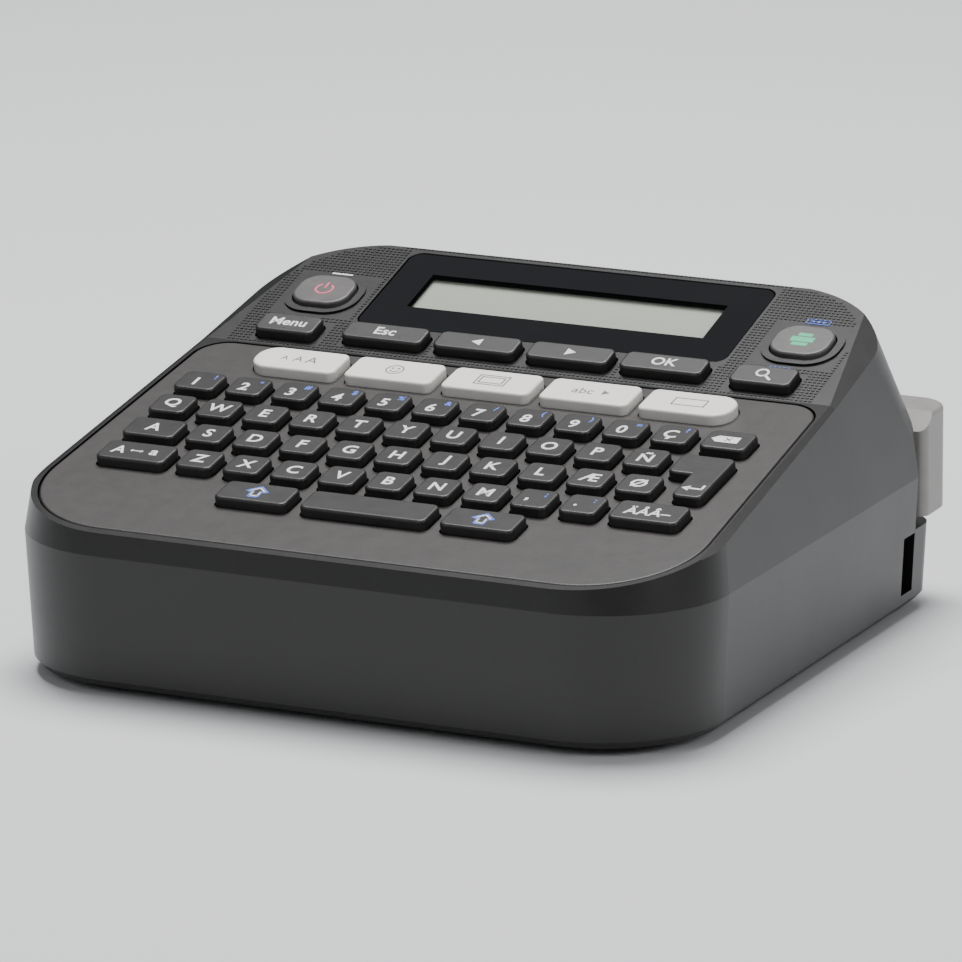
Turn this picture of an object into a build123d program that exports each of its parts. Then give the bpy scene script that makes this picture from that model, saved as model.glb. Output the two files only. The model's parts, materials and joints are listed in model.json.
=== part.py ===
from build123d import *

import os
from math import cos, pi, radians, sin, tan

# Desktop label maker with a full keyboard. Millimetres, +Z up, front towards -Y.
# The origin is on the resting surface, below the centre of the whole object.

# Driving dimensions: casing
FRONT_Y = -74.5
REAR_Y = 66.5
FRONT_HALF_WIDTH = 78.5
REAR_HALF_WIDTH = 75.5
FLOOR_Z = 2.0
PARTING_Z = 30.0
FORM_TOP_Z = 75.0
FRONT_RADIUS = 27.0
REAR_RADIUS_LOW = 8.0
REAR_RADIUS_HIGH = 30.0
SIDE_DRAFT = 6.0
FRONT_DRAFT = 5.9
REAR_DRAFT = 11.0
BASE_DRAFT = 1.5
BASE_BEVEL = 1.4
BEVEL_HEIGHT = 1.6
WALL = 2.2
SIDE_WALL = 2.4

# Driving dimensions: keyboard plane and display plane
KEYBOARD_TILT = 12.0
DISPLAY_TILT = 18.0
KEYBOARD_Y = -4.2
KEYBOARD_Z = 49.6
KEYBOARD_REAR_V = 19.0
KEYBOARD_FRONT_V = -69.0
JUNCTION_V = 20.0
SHOULDER_SLOPE = 0.45

# Driving dimensions: keys
KEY_PITCH = 10.88
ROW_PITCH = 11.47
LETTER_WIDTH = 8.4
KEY_DEPTH = 8.2
KEY_HEIGHT = 2.2
KEY_RADIUS = 1.6
KEY_STEM = 5.2
KEY_EDGE = 0.6
KEY_FLANGE = 0.7
FLANGE_DEPTH = 0.9
KEY_CLEARANCE = 0.35
BLOCK_HALF_WIDTH = 66.0
PLATE_THICKNESS = 2.0
POCKET_DEPTH = 2.2
PLATE_GAP = 0.35
CASE_UNDER_PLATE = 4.3

# Driving dimensions: tape cassette, batteries and printing mechanism
CASSETTE_BOX = ((-46.0, 2.0, 4.6), (31.0, 56.0, 22.0))
CASSETTE_WALL = 1.4
TAPE_Y = 50.0
TAPE_LOW_Z = 7.0
TAPE_WIDTH = 12.0
TAPE_THICKNESS = 0.2
BATTERY_RADIUS = 5.25
BATTERY_LENGTH = 44.5
BATTERY_Z = 9.85
BATTERY_ROWS_Y = (-58.0, -46.0, -34.0)
BATTERY_X = 25.5
CHASSIS_Z = 23.5
CHASSIS_THICKNESS = 1.5
TRAY_Z = 16.5
GEAR_Z = 26.0
GEAR_WIDTH = 4.0
GEAR_MODULE = 0.6
GEAR_SLACK = 0.15
PLATEN_CENTRE = (24.0, 54.9)
PLATEN_RADIUS = 4.5
PLATEN_TEETH = 20
IDLER_TEETH = 36
SPINDLE_TEETH = 28
MOTOR_TEETH = 12
HOLDER_PIVOT = (42.0, 60.0)
LEVER_PIVOT = (50.0, 60.5)
PIN_RADIUS = 1.5
RUNNING_GAP = 0.05
BLADE_X = 62.0

os.makedirs("parts", exist_ok=True)


def tilted_plane(y, z, tilt):
    """Plane through (0, y, z) that rises towards +Y by tilt degrees."""
    return Plane(origin=(0, y, z), x_dir=(1, 0, 0), z_dir=(0, -sin(radians(tilt)), cos(radians(tilt))))


JUNCTION_Y = KEYBOARD_Y + JUNCTION_V * cos(radians(KEYBOARD_TILT))
JUNCTION_Z = KEYBOARD_Z + JUNCTION_V * sin(radians(KEYBOARD_TILT))
keyboard_plane = tilted_plane(KEYBOARD_Y, KEYBOARD_Z, KEYBOARD_TILT)
display_plane = tilted_plane(JUNCTION_Y, JUNCTION_Z, DISPLAY_TILT)


def in_plane(plane, along, height):
    """World (y, z) of the point that lies along the slope and height above a tilted plane."""
    point = plane.from_local_coords(Vector(0, along, height))
    return point.Y, point.Z


def save(builder, name):
    """Label a finished piece and write its STEP file."""
    builder.part.label = name
    export_step(builder.part, f"parts/{name}.step")


def disc_group(places, radius, low_z, high_z):
    """Upright cylinders of one radius between two heights."""
    with BuildPart() as group:
        with BuildSketch(Plane.XY.offset(low_z)):
            with Locations(*places):
                Circle(radius)
        extrude(amount=high_z - low_z)
    return group.part


def block(low, high):
    """Plain box between two corners, for the walls and pads of the internals."""
    size = [b - a for a, b in zip(low, high)]
    centre = [(a + b) / 2 for a, b in zip(low, high)]
    with BuildPart() as box:
        with BuildSketch(Plane.XY.offset(low[2])):
            with Locations((centre[0], centre[1])):
                Rectangle(size[0], size[1])
        extrude(amount=size[2])
    return box.part


# --------------------------------------------------------------------------
# Casing forms, shared by the outside and the hollow inside


def outline_face(z, inset, draft_share, rear_radius):
    """Plan outline of the casing at one height, with its corners rounded."""
    half_front = FRONT_HALF_WIDTH - SIDE_DRAFT * draft_share - inset
    half_rear = REAR_HALF_WIDTH - SIDE_DRAFT * draft_share - inset
    front = FRONT_Y + FRONT_DRAFT * draft_share + inset
    rear = REAR_Y - REAR_DRAFT * draft_share - inset
    corners = [(-half_front, front), (half_front, front), (half_rear, rear), (-half_rear, rear)]
    radii = [FRONT_RADIUS - inset] * 2 + [rear_radius - inset] * 2
    with BuildSketch(Plane.XY.offset(z)) as outline:
        with BuildLine():
            FilletPolyline(*corners, radius=radii, close=True)
        make_face()
    return outline.sketch


def roof_face(y, top_z, flat_half_width):
    """Cross-section of the roof: a flat top with a shoulder falling away on each side."""
    reach = FRONT_HALF_WIDTH + WALL * 4
    eaves = top_z - SHOULDER_SLOPE * (reach - flat_half_width)
    points = [(-reach, FLOOR_Z), (reach, FLOOR_Z), (reach, eaves), (flat_half_width, top_z)]
    points += [(-flat_half_width, top_z), (-reach, eaves)]
    with BuildSketch(Plane.XZ.offset(-y)) as section:
        with BuildLine():
            Polyline(*points, close=True)
        make_face()
    return section.sketch


def roof_height(y):
    """Height of the casing's top on its centre line."""
    if y <= JUNCTION_Y:
        return KEYBOARD_Z + (y - KEYBOARD_Y) * tan(radians(KEYBOARD_TILT))
    return JUNCTION_Z + (y - JUNCTION_Y) * tan(radians(DISPLAY_TILT))


ROOF_SECTIONS = ((FRONT_Y - 2, 76.0), (JUNCTION_Y, 72.2), (REAR_Y + 2, 61.0))


def upper_form(inset, roof_drops):
    """Solid form of the upper casing: drafted sides under the two-slope roof."""
    with BuildPart() as roof:
        sections = [
            roof_face(y, roof_height(y) - drop, half)
            for (y, half), drop in zip(ROOF_SECTIONS, roof_drops)
        ]
        loft(sections=sections, ruled=True)
    with BuildPart() as form:
        low = outline_face(PARTING_Z, inset, 0, REAR_RADIUS_LOW)
        high = outline_face(FORM_TOP_Z, inset, 1, REAR_RADIUS_HIGH)
        loft(sections=[low, high], ruled=True)
        add(roof.part, mode=Mode.INTERSECT)
    return form.part


def base_inset(z):
    """How far the lower casing has drawn in from the parting line at one height."""
    return BASE_DRAFT * (PARTING_Z - z) / (PARTING_Z - FLOOR_Z)


def lower_form(inset, bottom_z, bevel):
    """Solid form of the lower casing, from a bevelled bottom up to the parting line."""
    heights = (bottom_z, bottom_z + BEVEL_HEIGHT, PARTING_Z)
    insets = (inset + base_inset(heights[0]) + bevel, inset + base_inset(heights[1]), inset)
    with BuildPart() as form:
        outlines = [outline_face(z, step, 0, REAR_RADIUS_LOW) for z, step in zip(heights, insets)]
        loft(sections=outlines, ruled=True)
    return form.part


# --------------------------------------------------------------------------
# Key positions: each entry is (left x, right x, front v, rear v) on its plane


def row_span(row):
    """Front and rear edge of a letter row, measured up the keyboard slope."""
    rear = -ROW_PITCH * row
    return rear - KEY_DEPTH, rear


def letter_row(row, first_right, count, last=None):
    """One row: a first key out to the block's left edge, letters, and a wide last key."""
    front, rear = row_span(row)
    keys = [(-BLOCK_HALF_WIDTH, first_right, front, rear)]
    for index in range(1, count):
        right = first_right + KEY_PITCH * index
        keys.append((right - LETTER_WIDTH, right, front, rear))
    if last:
        keys.append((last[0], last[1], front, rear))
    return keys


ROW_KEYS = {
    "number_row_keys": letter_row(0, -56.4, 11, (55.1, 65.5)),
    "upper_row_keys": letter_row(1, -57.4, 11),
    "home_row_keys": letter_row(2, -53.8, 11),
    "lower_row_keys": letter_row(3, -50.0, 10, (50.5, 66.0)),
}
ENTER_TOP = (53.8, 65.8, -20.4, -11.9)
ENTER_LOW = (59.1, 65.8, -30.4, -11.9)
SHIFT_V = (-54.0, -45.9)
WIDE_KEYS = {
    "key_shift_left": (-32.5, -16.0, *SHIFT_V),
    "key_space": (-13.0, 15.6, *SHIFT_V),
    "key_shift_right": (18.5, 35.0, *SHIFT_V),
}
FUNCTION_PITCH = 22.6
FUNCTION_WIDTH = 20.2
FUNCTION_V = (5.6, 15.2)
FUNCTION_END_RADIUS = 4.4
NAVIGATION_PITCH = 21.6
NAVIGATION_WIDTH = 19.0
NAVIGATION_V = (3.0, 9.4)
CORNER_KEY_X = 55.2
CORNER_KEY_SIZE = (14.0, 7.0)
CORNER_KEY_V = 5.8
POWER_KEY_X = -54.4
PRINT_KEY_X = 57.2
ROUND_KEY_SIZE = (13.2, 11.4)
ROUND_KEY_V = 21.4
ROUND_KEY_RADIUS = 4.6
ROUND_KEY_HEIGHT = 1.6
FUNCTION_NAMES = ["key_font", "key_symbol", "key_frame", "key_preset", "key_style"]
NAVIGATION_NAMES = ["key_escape", "key_left", "key_right", "key_ok"]


def key_sketch(plane, height, boxes, radius, grow=0.0):
    """Rounded outlines of keys on one tilted plane, grown all round by grow."""
    with BuildSketch(plane.offset(height)) as outlines:
        for left, right, front, rear in boxes:
            with Locations(((left + right) / 2, (front + rear) / 2)):
                RectangleRounded(right - left + 2 * grow, rear - front + 2 * grow, radius + grow)
    return outlines.sketch


def key_solid(plane, boxes, radius, height=KEY_HEIGHT, stem=KEY_STEM):
    """Caps that stand through the casing, each with a flange that holds it in."""
    with BuildPart() as keys:
        extrude(key_sketch(plane, -stem, boxes, radius), amount=stem + height)
        caps = keys.faces().sort_by(Axis(plane.origin, plane.z_dir))[-len(boxes):]
        fillet(caps.edges(), KEY_EDGE)
        extrude(key_sketch(plane, -stem, boxes, radius, KEY_FLANGE), amount=FLANGE_DEPTH)
    return keys


def joined_key(shapes):
    """One keyboard key whose outline is made of overlapping (box, radius) shapes."""
    with BuildPart() as key:
        for box, radius in shapes:
            outline = key_sketch(keyboard_plane, -KEY_STEM, [box], radius)
            extrude(outline, amount=KEY_STEM + KEY_HEIGHT)
        cap = key.faces().sort_by(Axis(keyboard_plane.origin, keyboard_plane.z_dir))[-1]
        fillet(cap.edges(), KEY_EDGE)
        for box, radius in shapes:
            flange = key_sketch(keyboard_plane, -KEY_STEM, [box], radius, KEY_FLANGE)
            extrude(flange, amount=FLANGE_DEPTH)
    return key


def end_key_shapes(box, outer_side):
    """A function key at the end of its row: strongly rounded outside, like the others inside."""
    left, right, front, rear = box
    middle = (left + right) / 2
    inner = (left, middle, front, rear) if outer_side > 0 else (middle, right, front, rear)
    return [(box, FUNCTION_END_RADIUS), (inner, KEY_RADIUS)]


function_boxes = []
for index in range(5):
    centre = (index - 2) * FUNCTION_PITCH
    function_boxes.append((centre - FUNCTION_WIDTH / 2, centre + FUNCTION_WIDTH / 2, *FUNCTION_V))
navigation_boxes = []
for index in range(4):
    centre = (index - 1.5) * NAVIGATION_PITCH
    navigation_boxes.append((centre - NAVIGATION_WIDTH / 2, centre + NAVIGATION_WIDTH / 2, *NAVIGATION_V))


def centred_box(x, v, size):
    """Key box from its centre and its width and depth."""
    return x - size[0] / 2, x + size[0] / 2, v - size[1] / 2, v + size[1] / 2


menu_box = centred_box(-CORNER_KEY_X, CORNER_KEY_V, CORNER_KEY_SIZE)
search_box = centred_box(CORNER_KEY_X, CORNER_KEY_V, CORNER_KEY_SIZE)
power_box = centred_box(POWER_KEY_X, ROUND_KEY_V, ROUND_KEY_SIZE)
print_box = centred_box(PRINT_KEY_X, ROUND_KEY_V, ROUND_KEY_SIZE)

# Every key stands in one of these groups: (plane, boxes, corner radius)
letter_boxes = [box for row in ROW_KEYS.values() for box in row] + list(WIDE_KEYS.values())
enter_shapes = [(ENTER_TOP, KEY_RADIUS), (ENTER_LOW, KEY_RADIUS)]
end_shapes = end_key_shapes(function_boxes[0], -1) + end_key_shapes(function_boxes[-1], 1)
keyboard_groups = [(letter_boxes + function_boxes[1:-1], KEY_RADIUS)]
keyboard_groups += [([box], radius) for box, radius in enter_shapes + end_shapes]
display_groups = [
    (navigation_boxes + [menu_box, search_box], KEY_RADIUS),
    ([power_box, print_box], ROUND_KEY_RADIUS),
]

# --------------------------------------------------------------------------
# Keyboard plate and the window over the display

PLATE_FRONT_HALF = 75.2
PLATE_REAR_HALF = 71.2
PLATE_FRONT_RADIUS = 23.0
PLATE_REAR_RADIUS = 7.0
PLATE_EDGE = 0.5


def plate_sketch(height, grow):
    """Outline of the keyboard plate on its plane."""
    front = KEYBOARD_FRONT_V - grow
    rear = KEYBOARD_REAR_V + grow
    half_front = PLATE_FRONT_HALF + grow
    half_rear = PLATE_REAR_HALF + grow
    corners = [(-half_front, front), (half_front, front), (half_rear, rear), (-half_rear, rear)]
    radii = [PLATE_FRONT_RADIUS + grow] * 2 + [PLATE_REAR_RADIUS + grow] * 2
    with BuildSketch(keyboard_plane.offset(height)) as outline:
        with BuildLine():
            FilletPolyline(*corners, radius=radii, close=True)
        make_face()
    return outline.sketch


WINDOW_X = (-43.0, 43.0)
WINDOW_V = (11.6, 42.0)
WINDOW_RADIUS = 3.0
WINDOW_THICKNESS = 1.2
WINDOW_SINK = 0.1
WINDOW_POCKET = 1.4
SCREEN_HALF = 38.0
SCREEN_V = (16.0, 37.0)
SCREEN_GAP = 0.2
SCREEN_TOP = -1.7
SCREEN_THICKNESS = 1.8
window_box = (*WINDOW_X, *WINDOW_V)
screen_box = (-SCREEN_HALF, SCREEN_HALF, *SCREEN_V)

with BuildPart() as keyboard_plate:
    extrude(plate_sketch(-PLATE_THICKNESS, 0), amount=PLATE_THICKNESS)
    top_face = keyboard_plate.faces().sort_by(Axis(keyboard_plane.origin, keyboard_plane.z_dir))[-1]
    fillet(top_face.outer_wire().edges(), PLATE_EDGE)
    for boxes, radius in keyboard_groups:
        holes = key_sketch(keyboard_plane, -PLATE_THICKNESS - 1, boxes, radius, KEY_CLEARANCE)
        extrude(holes, amount=PLATE_THICKNESS + 2, mode=Mode.SUBTRACT)
save(keyboard_plate, "keyboard_plate")

with BuildPart() as display_window:
    pane = key_sketch(display_plane, -WINDOW_THICKNESS - WINDOW_SINK, [window_box], WINDOW_RADIUS)
    extrude(pane, amount=WINDOW_THICKNESS)
    window_top = display_window.faces().sort_by(Axis(display_plane.origin, display_plane.z_dir))[-1]
    chamfer(window_top.edges(), 0.25)
save(display_window, "display_window")

with BuildPart() as lcd_module:
    base = SCREEN_TOP - SCREEN_THICKNESS
    extrude(key_sketch(display_plane, base, [screen_box], 1.0), amount=SCREEN_THICKNESS)
save(lcd_module, "lcd_module")

FRAME_DEPTH = 3.0
with BuildPart() as lcd_frame:
    base = SCREEN_TOP - SCREEN_THICKNESS - FRAME_DEPTH
    extrude(key_sketch(display_plane, base, [screen_box], 1.0), amount=FRAME_DEPTH)
    cavity = (-SCREEN_HALF + 3, SCREEN_HALF - 3, SCREEN_V[0] + 3, SCREEN_V[1] - 3)
    extrude(key_sketch(display_plane, base + 1, [cavity], 1.0), amount=FRAME_DEPTH, mode=Mode.SUBTRACT)
save(lcd_frame, "lcd_frame")

# --------------------------------------------------------------------------
# Keys

for name, boxes in ROW_KEYS.items():
    save(key_solid(keyboard_plane, boxes, KEY_RADIUS), name)
for name, box in WIDE_KEYS.items():
    save(key_solid(keyboard_plane, [box], KEY_RADIUS), name)
for name, box in zip(NAVIGATION_NAMES, navigation_boxes):
    save(key_solid(display_plane, [box], KEY_RADIUS), name)
save(key_solid(display_plane, [menu_box], KEY_RADIUS), "key_menu")
save(key_solid(display_plane, [search_box], KEY_RADIUS), "key_search")
save(key_solid(display_plane, [power_box], ROUND_KEY_RADIUS, height=ROUND_KEY_HEIGHT), "key_power")
save(key_solid(display_plane, [print_box], ROUND_KEY_RADIUS, height=ROUND_KEY_HEIGHT), "key_print")
for name, box in zip(FUNCTION_NAMES[1:-1], function_boxes[1:-1]):
    save(key_solid(keyboard_plane, [box], KEY_RADIUS), name)
save(joined_key(end_key_shapes(function_boxes[0], -1)), FUNCTION_NAMES[0])
save(joined_key(end_key_shapes(function_boxes[-1], 1)), FUNCTION_NAMES[-1])
save(joined_key(enter_shapes), "key_enter")

# --------------------------------------------------------------------------
# Cutter lever pocket, shared by both casings

LEVER_BOTTOM = 20.0
LEVER_TOP = 42.0
LEVER_SIDE_X = 75.2
LEVER_REAR_Y = 74.5
LEVER_NOSE_TILT = 40.0
POCKET_LEFT_X = 45.8
POCKET_FRONT_Y = 53.6
POCKET_CLEARANCE = 1.4

with BuildPart() as lever_pocket:
    with BuildSketch(Plane.YZ.offset(POCKET_LEFT_X)):
        with BuildLine():
            Polyline(
                (POCKET_FRONT_Y, LEVER_BOTTOM - POCKET_CLEARANCE),
                (POCKET_FRONT_Y, LEVER_TOP - 3.4),
                (POCKET_FRONT_Y + 4.6, LEVER_TOP + POCKET_CLEARANCE),
                (LEVER_REAR_Y + 8, LEVER_TOP + POCKET_CLEARANCE),
                (LEVER_REAR_Y + 8, LEVER_BOTTOM - POCKET_CLEARANCE),
                close=True,
            )
        make_face()
    extrude(amount=FRONT_HALF_WIDTH)

# --------------------------------------------------------------------------
# Top casing

REAR_BAND_Y = 57.0
REAR_BAND_TILT = -38.0
FRONT_SCREWS = ((-66.0, -56.0), (66.0, -56.0))
REAR_SCREWS = ((-68.0, 24.0), (68.0, 24.0))
BOSS_RADIUS = 3.0
PILOT_RADIUS = 1.2
SHANK_RADIUS = 1.25
PILOT_DEPTH = 12.0
FRONT_PILOT = 4.0
ROUND_KEY_LIP = 2.0
FLANGE_RELIEF = 1.3
ALL_SCREWS = FRONT_SCREWS + REAR_SCREWS
rear_band = tilted_plane(REAR_BAND_Y, roof_height(REAR_BAND_Y), REAR_BAND_TILT)

with BuildPart() as hollow:
    add(upper_form(SIDE_WALL, (CASE_UNDER_PLATE, CASE_UNDER_PLATE, WALL + 0.6)))
    split(bisect_by=rear_band.offset(-WALL), keep=Keep.BOTTOM)

with BuildPart() as bosses:
    add(disc_group(ALL_SCREWS, BOSS_RADIUS, PARTING_Z, FORM_TOP_Z))
    add(upper_form(WALL / 2, (1, 1, 1)), mode=Mode.INTERSECT)

with BuildPart() as top_case:
    add(upper_form(0, (0, 0, 0)))
    split(bisect_by=rear_band, keep=Keep.BOTTOM)
    round_key_lip = key_sketch(display_plane, 0, [power_box, print_box], ROUND_KEY_RADIUS, ROUND_KEY_LIP)
    extrude(round_key_lip, amount=0.5)
    add(hollow.part, mode=Mode.SUBTRACT)
    add(bosses.part)
    add(disc_group(REAR_SCREWS, PILOT_RADIUS, PARTING_Z, PARTING_Z + PILOT_DEPTH), mode=Mode.SUBTRACT)
    add(disc_group(FRONT_SCREWS, PILOT_RADIUS, PARTING_Z, PARTING_Z + FRONT_PILOT), mode=Mode.SUBTRACT)
    extrude(plate_sketch(-POCKET_DEPTH, PLATE_GAP), amount=POCKET_DEPTH * 3, mode=Mode.SUBTRACT)
    for boxes, radius in keyboard_groups:
        holes = key_sketch(keyboard_plane, -CASE_UNDER_PLATE - 2, boxes, radius, KEY_CLEARANCE)
        extrude(holes, amount=CASE_UNDER_PLATE + 2, mode=Mode.SUBTRACT)
    for boxes, radius in display_groups:
        holes = key_sketch(display_plane, -CASE_UNDER_PLATE - 2, boxes, radius, KEY_CLEARANCE)
        extrude(holes, amount=CASE_UNDER_PLATE + 4, mode=Mode.SUBTRACT)
        reliefs = key_sketch(display_plane, -CASE_UNDER_PLATE - 2, boxes, radius, FLANGE_RELIEF)
        extrude(reliefs, amount=2.4, mode=Mode.SUBTRACT)
    window_pocket = key_sketch(display_plane, -WINDOW_POCKET, [window_box], WINDOW_RADIUS, 0.15)
    extrude(window_pocket, amount=WINDOW_POCKET * 2, mode=Mode.SUBTRACT)
    screen_hole = key_sketch(display_plane, -CASE_UNDER_PLATE - 2, [screen_box], 1.0, SCREEN_GAP)
    extrude(screen_hole, amount=CASE_UNDER_PLATE + 3, mode=Mode.SUBTRACT)
    add(lever_pocket.part, mode=Mode.SUBTRACT)
save(top_case, "top_case")

# --------------------------------------------------------------------------
# Bottom casing, back cover, feet and screws

COVER_X = 55.5
COVER_Y = (-65.0, 57.0)
COVER_GAP = 0.3
COVER_THICKNESS = 2.0
COVER_RADIUS = 4.0
HINGE_Y = COVER_Y[1] - COVER_GAP
HINGE_X = (-34.0, 34.0)
HINGE_LENGTH = 8.0
HINGE_RADIUS = 0.8
GRIP_PLACE = (0, COVER_Y[0] + 14)
JACK_Y = (-20.0, -9.0)
JACK_Z = 14.0
JACK_MOUTH_RADIUS = 4.4
EXIT_Y = (47.4, 53.4)
EXIT_Z = (5.5, 18.0)
HEAD_RADIUS = 2.6
HEAD_HEIGHT = 1.6
HEAD_SEAT_Z = 5.0
FOOT_RADIUS = 6.0
FOOT_PLACES = ((-64.0, -40.0), (64.0, -40.0), (-64.0, 44.0), (64.0, 44.0))


def cover_outline(z, grow):
    """Rounded outline of the opening for the back cover."""
    with BuildSketch(Plane.XY.offset(z)) as outline:
        with Locations((0, sum(COVER_Y) / 2)):
            width = 2 * (COVER_X + grow)
            depth = COVER_Y[1] - COVER_Y[0] + 2 * grow
            RectangleRounded(width, depth, COVER_RADIUS + grow)
    return outline.sketch


with BuildPart() as bottom_case:
    add(lower_form(0, FLOOR_Z, BASE_BEVEL))
    add(lower_form(SIDE_WALL, FLOOR_Z + WALL, 0), mode=Mode.SUBTRACT)
    extrude(cover_outline(FLOOR_Z - 1, 0), amount=WALL + 2, mode=Mode.SUBTRACT)
    add(disc_group(ALL_SCREWS, BOSS_RADIUS, FLOOR_Z + WALL, PARTING_Z))
    add(disc_group(ALL_SCREWS, SHANK_RADIUS + 0.15, 0, PARTING_Z), mode=Mode.SUBTRACT)
    add(disc_group(ALL_SCREWS, HEAD_RADIUS + 0.2, 0, HEAD_SEAT_Z), mode=Mode.SUBTRACT)
    for x in HINGE_X:
        notch_low = (x - HINGE_LENGTH / 2 - COVER_GAP, HINGE_Y - HINGE_RADIUS, 0)
        notch_high = (x + HINGE_LENGTH / 2 + COVER_GAP, HINGE_Y + HINGE_RADIUS + COVER_GAP, FLOOR_Z + 1.4)
        add(block(notch_low, notch_high), mode=Mode.SUBTRACT)
    jack_line = Plane.YZ.offset(-FRONT_HALF_WIDTH - 1)
    with BuildSketch(jack_line):
        with Locations((sum(JACK_Y) / 2, JACK_Z)):
            Circle(JACK_MOUTH_RADIUS + 0.5)
    extrude(amount=SIDE_WALL + 8, mode=Mode.SUBTRACT)
    add(block((55, EXIT_Y[0], EXIT_Z[0]), (85, EXIT_Y[1], EXIT_Z[1])), mode=Mode.SUBTRACT)
    add(lever_pocket.part, mode=Mode.SUBTRACT)
    add(disc_group([LEVER_PIVOT], PIN_RADIUS, FLOOR_Z + 1, LEVER_TOP - 1))
save(bottom_case, "bottom_case")

with BuildPart() as back_cover:
    extrude(cover_outline(FLOOR_Z, -COVER_GAP), amount=COVER_THICKNESS)
    chamfer(back_cover.faces().sort_by(Axis.Z)[0].edges(), 0.4)
    with BuildSketch(Plane.XY.offset(FLOOR_Z)):
        with Locations(GRIP_PLACE):
            with GridLocations(0, 2.4, 1, 5):
                SlotOverall(22, 1.2)
    extrude(amount=0.6, mode=Mode.SUBTRACT)
    extrude(cover_outline(FLOOR_Z + COVER_THICKNESS, -COVER_GAP - 2), amount=0.4)
    for x in HINGE_X:
        with BuildSketch(Plane.YZ.offset(x - HINGE_LENGTH / 2)):
            with Locations((HINGE_Y, FLOOR_Z)):
                Circle(HINGE_RADIUS)
        extrude(amount=HINGE_LENGTH)
save(back_cover, "back_cover")

with BuildPart() as rubber_feet:
    add(disc_group(FOOT_PLACES, FOOT_RADIUS, 0, FLOOR_Z))
    fillet(rubber_feet.faces().group_by(Axis.Z)[0].edges(), 0.5)
save(rubber_feet, "rubber_feet")

with BuildPart() as case_screws:
    add(disc_group(ALL_SCREWS, HEAD_RADIUS, HEAD_SEAT_Z - HEAD_HEIGHT, HEAD_SEAT_Z))
    add(disc_group(REAR_SCREWS, SHANK_RADIUS - 0.1, HEAD_SEAT_Z, PARTING_Z + PILOT_DEPTH - 1))
    add(disc_group(FRONT_SCREWS, SHANK_RADIUS - 0.1, HEAD_SEAT_Z, PARTING_Z + FRONT_PILOT - 0.5))
    for turn in (0, 90):
        with BuildSketch(Plane.XY.offset(HEAD_SEAT_Z - HEAD_HEIGHT)):
            with Locations(*ALL_SCREWS):
                Rectangle(3.0, 0.6, rotation=turn)
        extrude(amount=0.9, mode=Mode.SUBTRACT)
save(case_screws, "case_screws")

# --------------------------------------------------------------------------
# Keypad mat, boards, display cable, power inlet

MAT_TOP = -6.5
MAT_THICKNESS = 1.0
BOARD_TOP = -8.0
BOARD_THICKNESS = 1.6
BOARD_MAIN = (-67.5, 67.5, -43.5, 16.5)
BOARD_TAB = (-38.0, 38.0, -57.0, -43.0)
DISPLAY_BOARD = (-64.0, 64.0, 1.5, 29.0)
DOME_PLACES = [((box[0] + box[1]) / 2, (box[2] + box[3]) / 2) for box in letter_boxes + function_boxes]
CHIP_SIZES = (
    (-30.0, -10.0, 12.0, 12.0),
    (5.0, -8.0, 9.0, 9.0),
    (34.0, -12.0, 7.0, 5.0),
    (-48.0, 4.0, 6.0, 4.0),
)
CHIP_HEIGHT = 1.4
DOME_RADIUS = 2.0
DOME_RECESS = 0.5
CABLE_WIDTH = 18.0
CABLE_THICKNESS = 0.3

with BuildPart() as keypad_mat:
    mat_outline = key_sketch(keyboard_plane, MAT_TOP - MAT_THICKNESS, [BOARD_MAIN, BOARD_TAB], 1.0)
    extrude(mat_outline, amount=MAT_THICKNESS)
    with BuildSketch(keyboard_plane.offset(MAT_TOP - MAT_THICKNESS)):
        with Locations(*DOME_PLACES):
            Circle(DOME_RADIUS)
    extrude(amount=DOME_RECESS, mode=Mode.SUBTRACT)
save(keypad_mat, "keypad_mat")

with BuildPart() as main_board:
    board_outline = key_sketch(keyboard_plane, BOARD_TOP - BOARD_THICKNESS, [BOARD_MAIN, BOARD_TAB], 1.0)
    extrude(board_outline, amount=BOARD_THICKNESS)
save(main_board, "main_board")

with BuildPart() as board_chips:
    with BuildSketch(keyboard_plane.offset(BOARD_TOP - BOARD_THICKNESS)):
        for x, v, width, depth in CHIP_SIZES:
            with Locations((x, v)):
                Rectangle(width, depth)
    extrude(amount=-CHIP_HEIGHT)
save(board_chips, "board_chips")

with BuildPart() as display_board:
    extrude(key_sketch(display_plane, BOARD_TOP - 0.6, [DISPLAY_BOARD], 1.0), amount=1.2)
save(display_board, "display_board")

cable_path = [
    in_plane(display_plane, SCREEN_V[0] - 0.4, -5.6),
    in_plane(display_plane, SCREEN_V[0] - 4.0, -6.9),
    in_plane(display_plane, 0.0, -6.9),
    in_plane(keyboard_plane, BOARD_MAIN[3] + 0.4, BOARD_TOP - 0.8),
]
with BuildPart() as lcd_cable:
    with BuildSketch(Plane.YZ.offset(-CABLE_WIDTH / 2)):
        with BuildLine():
            cable_line = Polyline(*cable_path)
        trace(cable_line, line_width=CABLE_THICKNESS)
    extrude(amount=CABLE_WIDTH)
save(lcd_cable, "lcd_cable")

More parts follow.
